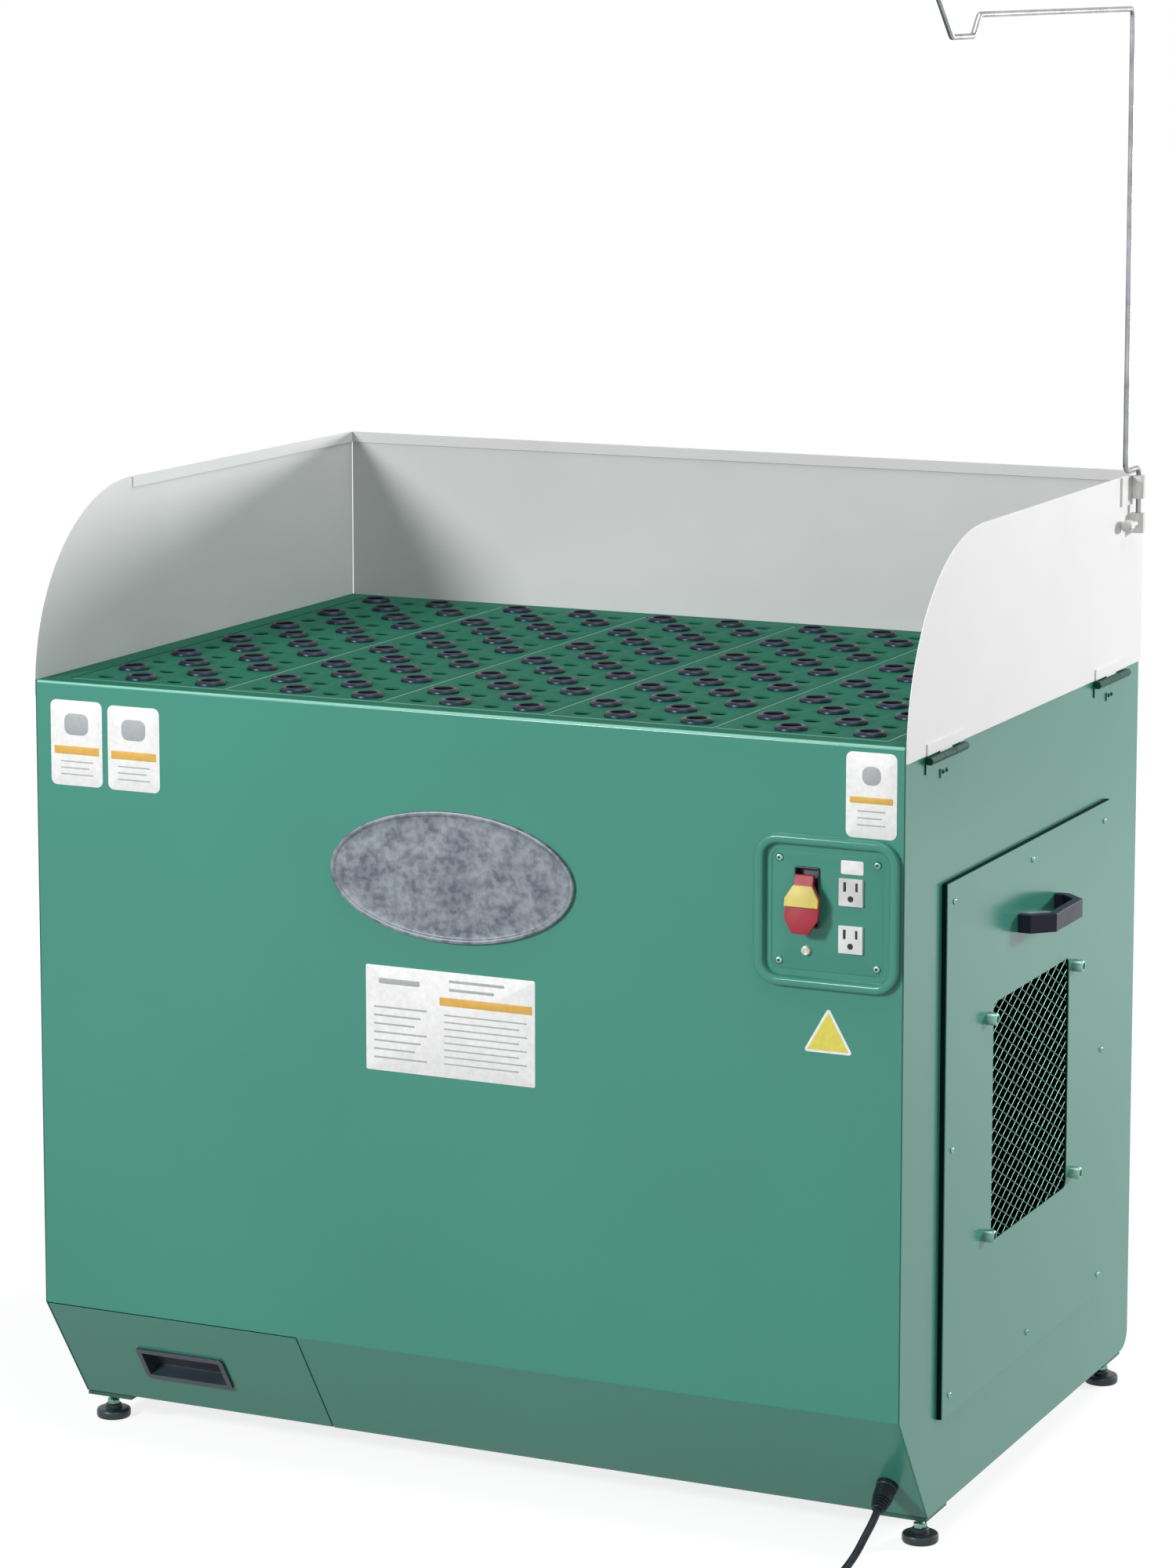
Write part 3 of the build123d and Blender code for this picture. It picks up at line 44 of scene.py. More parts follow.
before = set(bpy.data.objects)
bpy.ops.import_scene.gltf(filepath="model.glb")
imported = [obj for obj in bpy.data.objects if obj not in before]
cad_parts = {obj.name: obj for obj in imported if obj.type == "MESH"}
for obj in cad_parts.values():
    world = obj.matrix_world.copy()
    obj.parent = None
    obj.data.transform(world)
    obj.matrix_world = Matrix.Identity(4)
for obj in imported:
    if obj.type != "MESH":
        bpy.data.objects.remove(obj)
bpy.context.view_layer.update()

# Lengths in metres
MM = 0.001
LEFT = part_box("left_side_panel")[0].x
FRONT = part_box("front_panel")[0].y
GUARD_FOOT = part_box("left_guard")[0].z
COLUMN_PITCH, ROW_PITCH = 42.7 * MM, 56.9 * MM
PANEL_SHEET, PANEL_FOLD = 2 * MM, 1.5 * MM
FLOOR = 30.0

# Counts
PANELS, COLUMNS, ROWS = 5, 4, 12
CELL_STEPS = 8
COIL_HALF_TURNS = 4

# Places and sizes in the table's own millimetres
HINGE_TONGUES = ([(1001.5, y, 0.0) for y in (105, 625)] + [(-1.5, y, np.pi) for y in (105, 625)]
                 + [(x, 731.5, np.pi / 2) for x in (85, 500, 915)])
COVER_MIDDLE, COVER_FACE = (1004.4, 363, 413.75), 1006.0
PLATE_X, PLATE_Z, PLATE_SCREW_REACH = 918.5, 677.0, 52.5
SWITCH_X, SWITCH_Z, SWITCH_WINDOW = 896.0, 691.0, (25.4, 60.4, 1.5)
PADDLE_SPOT, PADDLE_FOOT, PADDLE_STAND, PADDLE_LEAN = (896, -2.5, 684), -27, 12.6, 0.2
OUTLET_X, OUTLET_FACE, BLADE_REACH = 943.5, -1.4, 6.35
CAMERA_SPOT, CAMERA_YAW, CAMERA_DIP = (2576.8, -4131.3, 1627.9), 24.946, 8.09
FOCAL_PIXELS, PHOTO_HEIGHT, SENSOR, CAMERA_SHIFT = 5809.8, 2000, 36.0, -0.12

# Right, up and out of the sides that pieces lie on
TOE_RUN = 150.602
TOE_UP = np.array([0.0, -84.0, 125.0]) / TOE_RUN
TOE_OUT = np.array([0.0, -125.0, -84.0]) / TOE_RUN
FRONT_SIDE = ((1, 0, 0), (0, 0, 1), (0, -1, 0))
RIGHT_SIDE = ((0, 1, 0), (0, 0, 1), (1, 0, 0))
FLOOR_SIDE = ((1, 0, 0), (0, 1, 0), (0, 0, 1))
TOE_SIDE = ((1, 0, 0), TOE_UP, TOE_OUT)


# Shapes worked out as arrays


def at(points):
    """Metres in the frame for millimetres from the table's left face, its front face and the floor."""
    return np.asarray(points, float) * MM + [LEFT, FRONT, 0]


def place(points, origin, side=FRONT_SIDE):
    """Local points laid on a side from an origin: each is origin + a right + b up + c out."""
    return at(np.asarray(origin, float) + np.asarray(points, float) @ np.array(side, float))


def box(node):
    """Low and high corner of a CAD node, as arrays in metres."""
    return [np.array(corner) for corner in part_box(node)]


def circle(steps, start=0.0):
    """Points of a unit circle: the cosine and sine of equal steps of a whole turn."""
    angle = start + np.arange(steps) * 2 * np.pi / steps
    return np.stack([np.cos(angle), np.sin(angle)], -1)


def rounded(width, height, radius, steps=6):
    """Outline of a rounded rectangle: each corner is a quarter circle about its own centre."""
    radius = min(max(radius, 0.01), width / 2 - 0.001, height / 2 - 0.001)
    angle = np.linspace(0, np.pi / 2, steps + 1)[None] + np.arange(4)[:, None] * np.pi / 2
    centre = np.array([[1, 1], [-1, 1], [-1, -1], [1, -1]]) * [width / 2 - radius, height / 2 - radius]
    return (centre[:, None] + radius * np.stack([np.cos(angle), np.sin(angle)], -1)).reshape(-1, 2)


def oval(width, height, steps=72):
    """Outline of an ellipse: its half width times the cosine and its half height times the sine."""
    return circle(steps) * [width / 2, height / 2]


def lifted(layers):
    """Stack of rings: each flat outline of the layers is set at its own height."""
    return np.stack([np.c_[outline, np.full(len(outline), height)] for outline, height in layers])


def shut(rings, middle):
    """Stack of rings with both ends drawn in to a middle, each at its own height."""
    ends = [rings[0] * 0 + [*middle, rings[i, 0, 2]] for i in (0, -1)]
    return np.stack([ends[0], *rings, ends[1]])


def raised(outline, layers):
    """Slab on an outline, which is drawn in by each layer's inset and lifted to its height."""
    rings = lifted((outline(inset), height) for inset, height in layers)
    return shut(rings, (rings[0, :, 0].mean(), rings[0, :, 1].mean()))


def slab(width, height, radius, thick, edge=0.3, base=0.0):
    """Rounded rectangular slab with an edge rounded off in three steps."""
    layers = [(0, base), (0, thick - edge), (edge * 0.3, thick - edge * 0.3), (edge, thick)]
    return raised(lambda inset: rounded(width - 2 * inset, height - 2 * inset, radius - inset), layers)


def moulding(width, height, radius, profile):
    """Moulding round a rounded rectangle, drawn in by each inset of a profile and lifted to its height."""
    return lifted((rounded(width - 2 * inset, height - 2 * inset, radius - inset), rise)
                  for inset, rise in profile)


def windowed(size, radius, layers, window, middle):
    """Rounded square plate with a window, whose own outline shuts the plate's moulding at both ends."""
    ends = lifted((rounded(*window) + middle, layers[i][1]) for i in (0, -1))
    return np.stack([ends[0], *moulding(size, size, radius, layers), ends[1]])


def turned(profile, sides=32):
    """Turned shape: each (radius, height) of the profile goes round the axis, as radius times a circle."""
    profile = np.asarray(profile, float)
    around = profile[:, None, :1] * circle(sides)
    return np.concatenate([around, profile[:, None, 1:] + 0 * around[..., :1]], -1)


def filleted(points, radii, steps=6):
    """Line through points, each inner corner replaced by a circular arc that touches both of its runs."""
    points = np.asarray(points, float)
    line = [points[:1]]
    for before, here, after, radius in zip(points, points[1:], points[2:], radii):
        into, away = here - before, after - here
        into, away = into / np.linalg.norm(into), away / np.linalg.norm(away)
        turn = np.arccos(np.clip(into @ away, -1, 1))
        reach = radius * np.tan(turn / 2)
        inward = away - into
        centre = here + inward / np.linalg.norm(inward) * radius / np.cos(turn / 2)
        start, end = here - into * reach - centre, here + away * reach - centre
        share = np.linspace(0, 1, steps + 1)[:, None]
        line.append(centre + (np.sin((1 - share) * turn) * start + np.sin(share * turn) * end) / np.sin(turn))
    return np.concatenate([*line, points[-1:]])


def carried(path, section, side):
    """Section carried along a flat path: its first axis is the normal, its second turns with the path."""
    side = np.asarray(side, float)
    along = np.gradient(path, axis=0)
    along /= np.linalg.norm(along, axis=1)[:, None]
    across = np.cross(along, side)
    rings = path[:, None] + section[None, :, :1] * side + section[None, :, 1:] * across[:, None]
    return np.concatenate([rings[:1] * 0 + path[0], rings, rings[:1] * 0 + path[-1]])


# Pieces


class Form:
    """Gathers grids of points and makes them one mesh."""

    def __init__(self):
        self.points, self.faces, self.finishes, self.count = [], [], [], 0

    def grid(self, points, along=False, finish=0):
        """Quads on a grid of closed rings or on many; along also joins the last ring to the first."""
        points = np.asarray(points, float)
        rows, columns = points.shape[-3:-1]
        copies = points.reshape(-1, rows * columns, 3)
        row = np.arange(rows if along else rows - 1)[:, None]
        column = np.arange(columns)[None]
        above, beside = (row + 1) % rows, (column + 1) % columns
        corners = [(row, column), (row, beside), (above, beside), (above, column)]
        quads = np.stack([r * columns + c for r, c in corners], -1).reshape(-1, 4)
        starts = self.count + np.arange(len(copies)) * rows * columns
        self.points.append(copies.reshape(-1, 3))
        self.faces.append((quads[None] + starts[:, None, None]).reshape(-1, 4))
        self.finishes.append(np.full(len(quads) * len(copies), finish))
        self.count += copies.shape[0] * rows * columns
        return self

    def lay(self, shape, spot, side=FRONT_SIDE, **how):
        """Adds a grid of local points, laid on a side from a spot."""
        return self.grid(place(shape, spot, side), **how)

    def piece(self, name, body, finishes, slot, replaces="", smooth=35):
        """The mesh as a piece on its body, with its finishes named in one string."""
        mesh = bpy.data.meshes.new(name)
        points, faces = np.concatenate(self.points), np.concatenate(self.faces)
        mesh.vertices.add(len(points))
        mesh.vertices.foreach_set("co", points.ravel())
        mesh.loops.add(faces.size)
        mesh.loops.foreach_set("vertex_index", faces.ravel())
        mesh.polygons.add(len(faces))
        mesh.polygons.foreach_set("loop_start", np.arange(len(faces)) * 4)
        dress(mesh, finishes)
        mesh.polygons.foreach_set("material_index", np.concatenate(self.finishes))
        mesh.update(calc_edges=True)
        return settle(bpy.data.objects.new(name, mesh), body, replaces, smooth)


def dress(mesh, finishes):
    """Gives a mesh the materials that a string names, in order; its faces all start with the first."""
    mesh.materials.clear()
    for name in finishes.split():
        mesh.materials.append(material(name))


def settle(piece, body, replaces="", smooth=35, turn=True):
    """Merges doubles, turns faces outwards, keeps edges past an angle sharp and sets a piece on its body."""
    mesh = piece.data
    shape = bmesh.new()
    shape.from_mesh(mesh)
    bmesh.ops.remove_doubles(shape, verts=shape.verts, dist=2e-6)
    if turn:
        bmesh.ops.recalc_face_normals(shape, faces=shape.faces)
    shape.to_mesh(mesh)
    shape.free()
    mesh.shade_smooth()
    mesh.set_sharp_from_angle(angle=np.radians(smooth))
    bpy.context.scene.collection.objects.link(piece)
    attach(piece, body)
    if replaces:
        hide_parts(*replaces.split())
    return piece


def softened(node, body, finishes, width, segments=2):
    """Copy of a CAD node with its flat faces whole again and its edges rounded by a width in millimetres."""
    piece = bpy.data.objects.new(node + "_rounded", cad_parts[node].data.copy())
    dress(piece.data, finishes)
    shape = bmesh.new()
    shape.from_mesh(piece.data)
    bmesh.ops.remove_doubles(shape, verts=shape.verts, dist=1e-6)
    bmesh.ops.dissolve_limit(shape, angle_limit=np.radians(0.5), verts=shape.verts, edges=shape.edges)
    shape.to_mesh(piece.data)
    shape.free()
    settle(piece, body, node, turn=False)
    bevel = piece.modifiers.new("edges", "BEVEL")
    bevel.width = width * MM
    bevel.segments = segments
    bevel.limit_method = "ANGLE"
    bevel.angle_limit = np.radians(28)
    bevel.harden_normals = True
    bevel.use_clamp_overlap = True
    return piece


def of_faces(piece, measure):
    """A measure of every face of a piece, as rows of three numbers."""
    values = np.empty(len(piece.data.polygons) * 3)
    piece.data.polygons.foreach_get(measure, values)
    return values.reshape(-1, 3)


def below(piece, level):
    """Gives the faces whose middles lie under a level the second finish."""
    under = of_faces(piece, "center")[:, 2] < level
    piece.data.polygons.foreach_set("material_index", under.astype(np.int32))


def lined(piece, inward):
    """Gives a sheet's faces finishes by their normals.

    The second, near-black, is painted shade on faces that look into the cabinet; the third, a darker green,
    is painted shade on faces that look up;
    and the fourth is a painted highlight on a front sheet's fold or painted shadow on a side sheet's front
    edge.
    """
    normals = of_faces(piece, "normal")
    forward, rise = -normals[:, 1], normals[:, 2]
    edge = (forward > 0.35) & (rise > 0.35) if inward[1] else (forward > 0.7) & (rise > -0.1)
    finish = np.select([normals @ inward > 0.5, rise > 0.99, edge], [1, 2, 3], 0)
    piece.data.polygons.foreach_set("material_index", finish.astype(np.int32))


def coat(node, name):
    """Gives a carried-over CAD node its material."""
    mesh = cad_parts[node].data
    dress(mesh, name)
    mesh.shade_smooth()
    mesh.set_sharp_from_angle(angle=np.radians(30))


# Colours and nodes


def light(colour):
    """Linear colour of an 8 bit screen colour: the standard curve of a 2.4 power with a straight foot."""
    share = np.asarray(colour, float) / 255
    return tuple(np.where(share <= 0.04045, share / 12.92, ((share + 0.055) / 1.055) ** 2.4))


def screen(colour):
    """Screen colour of a linear one, for a colour that a user picks."""
    share = np.clip(np.asarray(colour[:3], float), 0, 1)
    return tuple(255 * np.where(share <= 0.0031308, share * 12.92, 1.055 * share ** (1 / 2.4) - 0.055))


def shaded(colour, share):
    """A screen colour brought down to a share of itself."""
    return tuple(share * c for c in colour)


class Shade:
    """A socket of a node tree; sums and products of it add Math nodes."""

    def __init__(self, nodes, socket):
        self.nodes, self.socket = nodes, socket

    def maths(self, operation, other):
        return self.nodes.shade("ShaderNodeMath", {"operation": operation}, {0: self, 1: other})

    def __add__(self, other):
        return self.maths("ADD", other)

    def __mul__(self, other):
        return self.maths("MULTIPLY", other)

    __radd__, __rmul__ = __add__, __mul__

    def most(self, other):
        return self.maths("MAXIMUM", other)


class Nodes:
    """A node tree while it is being made."""

    def __init__(self, tree):
        self.tree = tree

    def feed(self, socket, value):
        """Links a shade to a socket, or sets the socket to a number or a colour."""
        if isinstance(value, Shade):
            self.tree.links.new(value.socket, socket)
        elif isinstance(value, tuple) and socket.type == "RGBA":
            socket.default_value = (*value[:3], 1)
        else:
            socket.default_value = value

    def node(self, kind, settings=None, inputs=None):
        """A node of a type, with its settings first and then its sockets' values or links."""
        made = self.tree.nodes.new(kind)
        for name, value in (settings or {}).items():
            setattr(made, name, value)
        for name, value in (inputs or {}).items():
            self.feed(made.inputs[name], value)
        return made

    def shade(self, kind, settings=None, inputs=None, output=0):
        """One output of a new node."""
        return Shade(self, self.node(kind, settings, inputs).outputs[output])

    def band(self, value, low=0.0, high=1.0, first=0.0, last=1.0):
        """Runs from first to last while a value goes from low to high, and is held between the two."""
        return self.shade("ShaderNodeMapRange", None, {0: value, 1: low, 2: high, 3: first, 4: last})

    def seen(self):
        """One for the camera's own rays and for those it sends on through mirrors and glass."""
        rays = self.node("ShaderNodeLightPath").outputs
        seen = Shade(self, rays["Is Camera Ray"])
        for kind in ("Is Glossy Ray", "Is Transmission Ray"):
            seen = seen.most(Shade(self, rays[kind]))
        return seen


class Finish(Nodes):
    """One material while it is being made."""

    def __init__(self, name, colour, roughness, **sockets):
        self.material = bpy.data.materials.new(name)
        self.material.use_nodes = True
        super().__init__(self.material.node_tree)
        self.shader = self.tree.nodes["Principled BSDF"]
        self.material.diffuse_color = (*light(colour), 1)
        self.colour(light(colour)).rough(roughness)
        for socket, value in sockets.items():
            self.feed(self.shader.inputs[socket.replace("_", " ")], value)
        where = self.node("ShaderNodeTexCoord").outputs
        self.place, self.normal = Shade(self, where["Object"]), Shade(self, where["Normal"])

    def noise(self, scale, detail=2.0, stretch=(1, 1, 1)):
        """Cloudy value about a half; scale is in features to the metre."""
        spot = self.shade("ShaderNodeMapping", None, {"Vector": self.place, "Scale": stretch})
        return self.shade("ShaderNodeTexNoise", None, {"Vector": spot, "Scale": scale, "Detail": detail})

    def cloud(self, scale, detail=2.0, stretch=(1, 1, 1), low=0.3, high=0.7):
        """Noise spread out between 0 and 1."""
        return self.band(self.noise(scale, detail, stretch), low, high)

    def grains(self, scale):
        """A random value for each crystal."""
        inputs = {"Vector": self.place, "Scale": scale}
        return self.shade("ShaderNodeSeparateColor", None,
                          {0: self.shade("ShaderNodeTexVoronoi", None, inputs, "Color")})

    def tones(self, share, first, second):
        """Colour that runs from one linear colour or shade to another with a share."""
        return self.shade("ShaderNodeMix", {"data_type": "RGBA"}, {0: share, 6: first, 7: second}, 2)

    def inks(self, share, first, second):
        """Colour that runs from one screen colour to another with a share."""
        return self.tones(share, light(first), light(second))

    def colour(self, shade):
        self.feed(self.shader.inputs["Base Color"], shade)
        return self

    def rough(self, shade):
        self.feed(self.shader.inputs["Roughness"], shade)
        return self

    def bump(self, height, distance, strength=1.0):
        """Raises the surface by a height of up to a distance, in metres."""
        inputs = {"Height": height, "Distance": distance, "Strength": strength}
        self.feed(self.shader.inputs["Normal"], self.shade("ShaderNodeBump", None, inputs))
        return self


# Materials


def powder_coat(name, colour, darker, roughness, gloss=0.5):
    """Sprayed and baked paint: faint drift of tone and a fine orange peel."""
    finish = Finish(name, colour, roughness, Specular_IOR_Level=gloss)
    finish.colour(finish.inks(finish.cloud(2.2, 3.0), darker, colour))
    finish.rough(finish.noise(30) * 0.06 + (roughness - 0.03))
    return finish.bump(finish.noise(420), 0.00003, 0.3).material


def chosen_coat(setting, share, roughness, gloss):
    """Powder coat in a colour that the user picks, drifting down to a share of it."""
    colour = screen(getattr(bpy.context.scene.downdraft_paint, setting))
    return powder_coat(setting + "_powder_coat", colour, shaded(colour, share), roughness, gloss)


def guard_paint(name, inner_tone, outer_tone):
    """Pale grey paint: one tone on the sides that face the work and another outside; an inner tone below the
    outer one is painted shade.
    """
    finish = Finish(name, (outer_tone,) * 3, 0.5, Specular_IOR_Level=0.3)
    inputs = {0: finish.normal, 1: finish.place}
    facing = finish.shade("ShaderNodeVectorMath", {"operation": "DOT_PRODUCT"}, inputs, "Value")
    cloud = finish.cloud(6, 3.0)
    inner, outer = (finish.inks(cloud, (tone - drift,) * 3, (tone + drift,) * 3)
                    for tone, drift in ((inner_tone, 3), (outer_tone, 2)))
    finish.colour(finish.tones(finish.band(facing, -0.05, 0.05), inner, outer))
    finish.rough(finish.noise(40) * 0.12 + 0.36)
    return finish.bump(finish.noise(600), 0.00005, 0.4).material


def moulded(name, colour, roughness, gloss=0.5, tint=(1.0, 1.0, 1.0), grain=900, depth=0.00005):
    """Moulded plastic or rubber: fine grain, a little uneven in gloss and tone."""
    finish = Finish(name, colour, roughness, Specular_IOR_Level=gloss, Specular_Tint=tint)
    finish.colour(finish.inks(finish.cloud(25), shaded(colour, 0.86), colour))
    finish.rough(finish.noise(60) * 0.16 + (roughness - 0.08))
    return finish.bump(finish.noise(grain), depth, 0.6).material


def plated(name, colour, roughness, stretch=(1, 1, 1)):
    """Plated steel: fine drawn lines and soft stains in its gloss."""
    finish = Finish(name, colour, roughness, Metallic=0.95)
    finish.colour(finish.inks(finish.cloud(45, 3.0), shaded(colour, 0.8), colour))
    finish.rough(finish.noise(160, 3.0, stretch) * 0.25 + (roughness - 0.12))
    return finish.bump(finish.noise(500, 2.0, stretch), 0.00003, 0.4).material


def galvanised():
    """Zinc coated sheet: crystals of slightly different greys."""
    finish = Finish("galvanised_sheet", (168, 172, 175), 0.4, Metallic=0.85)
    finish.colour(finish.inks(finish.grains(110), (140, 145, 149), (188, 191, 194)))
    return finish.rough(finish.grains(110) * 0.2 + 0.3).material


def mottled_casting():
    """Oval plate: grey metal with cloudy hammered patches."""
    finish = Finish("mottled_plate", (114, 122, 130), 0.45, Metallic=0.3)
    cloud, patch = finish.cloud(48, 6.0, low=0.36, high=0.62), finish.cloud(130, 4.0, low=0.42, high=0.58)
    tone = cloud * 0.6 + patch * 0.4
    finish.colour(finish.inks(tone, (84, 91, 103), (136, 144, 150))).rough(tone * 0.2 + 0.36)
    return finish.bump(tone, 0.0004, 0.5).material


def filter_paper():
    """Pleated paper: fibrous, slightly yellow, dustier low down."""
    finish = Finish("filter_paper", (228, 226, 214), 0.9)
    fibre = finish.cloud(420, 3.0, (1, 1, 0.2))
    height = finish.shade("ShaderNodeSeparateXYZ", None, {0: finish.place}, 2)
    clean = finish.inks(fibre, (214, 211, 198), (236, 234, 224))
    finish.colour(finish.tones(finish.band(height, 0.2, 0.65), light((196, 188, 168)), clean))
    return finish.bump(fibre, 0.0001, 0.6).material


def cord_jacket():
    """Black cord jacket with faint scuffs."""
    finish = Finish("cord_jacket", (16, 27, 31), 0.45, Specular_IOR_Level=0.3)
    scuff = finish.cloud(140, 4.0, low=0.45, high=0.62)
    finish.colour(finish.inks(scuff, (13, 24, 28), (28, 40, 44))).rough(scuff * 0.2 + 0.36)
    return finish.bump(finish.noise(700), 0.00004, 0.5).material


def sticker(name, colour):
    """Printed film: smooth, with a faint mottle in the ink."""
    finish = Finish(name, colour, 0.5, Specular_IOR_Level=0.3)
    finish.colour(finish.inks(finish.cloud(180, 3.0), shaded(colour, 0.95), colour))
    return finish.rough(finish.noise(90) * 0.1 + 0.45).material


def pale_button():
    """Smooth pale button, cloudy between two tones."""
    finish = Finish("pale_button", (206, 214, 188), 0.22, Coat_Weight=0.4)
    return finish.colour(finish.inks(finish.cloud(300), (186, 196, 168), (216, 222, 200))).material


RECIPES = {
    "green": (chosen_coat, "green", 0.96, 0.2, 0.3),
    # Darker green painted as shade: the perforated panels and every upward face of the cabinet sheets.
    "panel": (chosen_coat, "panel", 0.93, 0.55, 0.02),
    # Dark green painted shade on the hinge knuckles, in the gap under the guards' foot.
    "hinge": (powder_coat, "hinge_paint", (22, 80, 64), (16, 64, 52), 0.5, 0.1),
    # Pale green painted highlight along the front sheet's top fold.
    "fold": (powder_coat, "fold_paint", (138, 204, 184), (128, 194, 174), 0.3),
    # Near-black painted shade for faces that look into the cabinet and for the groove round the control
    # plate.
    "inside": (powder_coat, "inside_coat", (10, 40, 31), (8, 32, 25), 0.6, 0.1),
    # Dark green painted shade: the side sheets' front edges, the base pan and the top frame.
    "dark_green": (powder_coat, "shaded_green", (40, 92, 76), (32, 80, 66), 0.5),
    "blower": (powder_coat, "blower_paint", (58, 60, 63), (44, 46, 49), 0.5),
    "motor": (powder_coat, "motor_paint", (70, 74, 80), (56, 60, 66), 0.45),
    "guard": (guard_paint, "guard_paint", 238, 238),
    # The back guard's inner side is painted darker as shade.
    "back_guard": (guard_paint, "back_guard_paint", 208, 238),
    "rubber": (moulded, "ring_rubber", (8, 20, 34), 0.36, 0.5, (0.6, 0.78, 1.0)),
    "black": (moulded, "black_plastic", (18, 30, 35), 0.45, 0.3),
    "navy": (moulded, "switch_plastic", (30, 42, 58), 0.45),
    # Near-black painted shade for the walls of the ring bores.
    "recess": (moulded, "recess_plastic", (12, 16, 22), 0.7, 0.1),
    "pale": (moulded, "pale_plastic", (242, 242, 240), 0.4),
    "white": (moulded, "outlet_plastic", (230, 233, 232), 0.35, 0.3),
    "foot": (moulded, "foot_rubber", (30, 46, 52), 0.4),
    "pull": (moulded, "pull_plastic", (46, 58, 68), 0.38),
    "handle": (moulded, "handle_plastic", (28, 30, 54), 0.45, 0.25),
    "red": (moulded, "red_plastic", (172, 48, 62), 0.4, 0.25),
    "yellow": (moulded, "yellow_plastic", (226, 208, 110), 0.42, 0.25),
    # Near-black painted shade in the outlets' slots and the screws' sockets; the hinge screws are near-black
    # all over.
    "slot": (moulded, "slot_dark", (22, 22, 24), 0.7),
    # Near-black foam: the gasket's own colour and painted shadow under the side cover's edge.
    "foam": (moulded, "gasket_foam", (10, 28, 24), 0.9, 0.1, (1.0, 1.0, 1.0), 300, 0.0002),
    "green_zinc": (plated, "painted_zinc", (134, 178, 164), 0.36),
    "rod": (plated, "rod_plate", (164, 165, 168), 0.3, (1, 1, 0.05)),
    "brass": (plated, "blade_brass", (206, 190, 140), 0.3),
    "wire": (plated, "mesh_wire", (80, 122, 108), 0.45),
    "film": (sticker, "label_film", (244, 245, 244)),
    "ink": (sticker, "label_ink", (176, 180, 182)),
    "amber": (sticker, "label_amber", (224, 178, 88)),
    "sign": (sticker, "label_yellow", (228, 216, 96)),
    "galvanised": (galvanised,),
    "badge": (mottled_casting,),
    "paper": (filter_paper,),
    "cord": (cord_jacket,),
    "button": (pale_button,),
}
MATERIALS = {}


def material(name):
    """A material by name, made once when it is first used."""
    if name not in MATERIALS:
        maker, *details = RECIPES[name]
        MATERIALS[name] = maker(*details)
    return MATERIALS[name]


# Sizes and colours that a user would change


class PaintSettings(bpy.types.PropertyGroup):
    green: bpy.props.FloatVectorProperty(
        name="Cabinet green", description="Colour of the cabinet's powder coat",
        subtype="COLOR", default=light((68, 145, 127)), min=0, max=1)
    # This darker green is painted shade on the worktop and on the cabinet's upward faces.
    panel: bpy.props.FloatVectorProperty(
        name="Panel green", description="Colour of the perforated panels' powder coat",
        subtype="COLOR", default=light((44, 114, 92)), min=0, max=1)
    edge_radius: bpy.props.FloatProperty(
        name="Edge radius", description="Rounding of the cabinet's sheet edges",
        default=0.0007, min=0.0001, max=0.002, unit="LENGTH")


class RingSettings(bpy.types.PropertyGroup):
    sides: bpy.props.IntProperty(
        name="Ring sides", description="Faces round each rubber ring", default=24, min=8, max=64)
    bore: bpy.props.FloatProperty(
        name="Ring bore", description="Diameter of the hole through each rubber ring",
        default=0.0208, min=0.01, max=0.024, unit="LENGTH")
    plain_hole: bpy.props.FloatProperty(
        name="Plain hole", description="Diameter of the holes without rings",
        default=0.0185, min=0.01, max=0.024, unit="LENGTH")


class MeshSettings(bpy.types.PropertyGroup):
    columns: bpy.props.IntProperty(
        name="Mesh columns", description="Diamonds across the exhaust window", default=10, min=4, max=30)
    rows: bpy.props.IntProperty(
        name="Mesh rows", description="Strands up the exhaust window", default=43, min=4, max=60)
    strand: bpy.props.FloatProperty(
        name="Strand width", description="Width of a strand of the expanded mesh",
        default=0.00095, min=0.0005, max=0.003, unit="LENGTH")


class CordSettings(bpy.types.PropertyGroup):
    diameter: bpy.props.FloatProperty(
        name="Cord diameter", description="Thickness of the power cord",
        default=0.008, min=0.004, max=0.012, unit="LENGTH")


class StageSettings(bpy.types.PropertyGroup):
    floor: bpy.props.FloatProperty(
        name="Floor tone", description="Grey level of the floor", default=0.3, min=0, max=1)
    key: bpy.props.FloatProperty(
        name="Key light", description="Power of the main soft light, in watts", default=120, min=0, max=2000)
    sky: bpy.props.FloatProperty(
        name="Sky level", description="Even light from all round", default=0.22, min=0, max=2)


# Cabinet and guards


class DOWNDRAFT_OT_cabinet(bpy.types.Operator):
    """Paint the cabinet's sheets and round their edges"""

    bl_idname = "downdraft.cabinet"
    bl_label = "Cabinet"

    def execute(self, context):
        edge = context.scene.downdraft_paint.edge_radius / MM
        for node, inward in (("left_side_panel", (1, 0, 0)), ("right_side_panel", (-1, 0, 0)),
                             ("front_panel", (0, 1, 0)), ("back_panel", (0, -1, 0))):
            # Second finish: near-black painted shade inside; third: darker green painted shade on upward
            # faces; fourth: painted highlight on the front fold, painted shadow on other front edges.
            finishes = "green inside panel " + ("fold" if node == "front_panel" else "dark_green")
            lined(softened(node, "cabinet", finishes, edge), inward)
        softened("drawer_front", "drawer", "green", edge)
        softened("side_cover", "side_cover", "green", edge)
        # The base pan and the top frame take the dark green painted shade.
        for name, nodes in (("galvanised", "air_baffle filter_rails drawer_tray drawer_runners junction_box"),
                            ("dark_green", "base_pan top_frame"), ("paper", "panel_filter"),
                            ("blower", "blower_housing blower_wheel"), ("motor", "motor")):
            for node in nodes.split():
                coat(node, name)
        return {"FINISHED"}


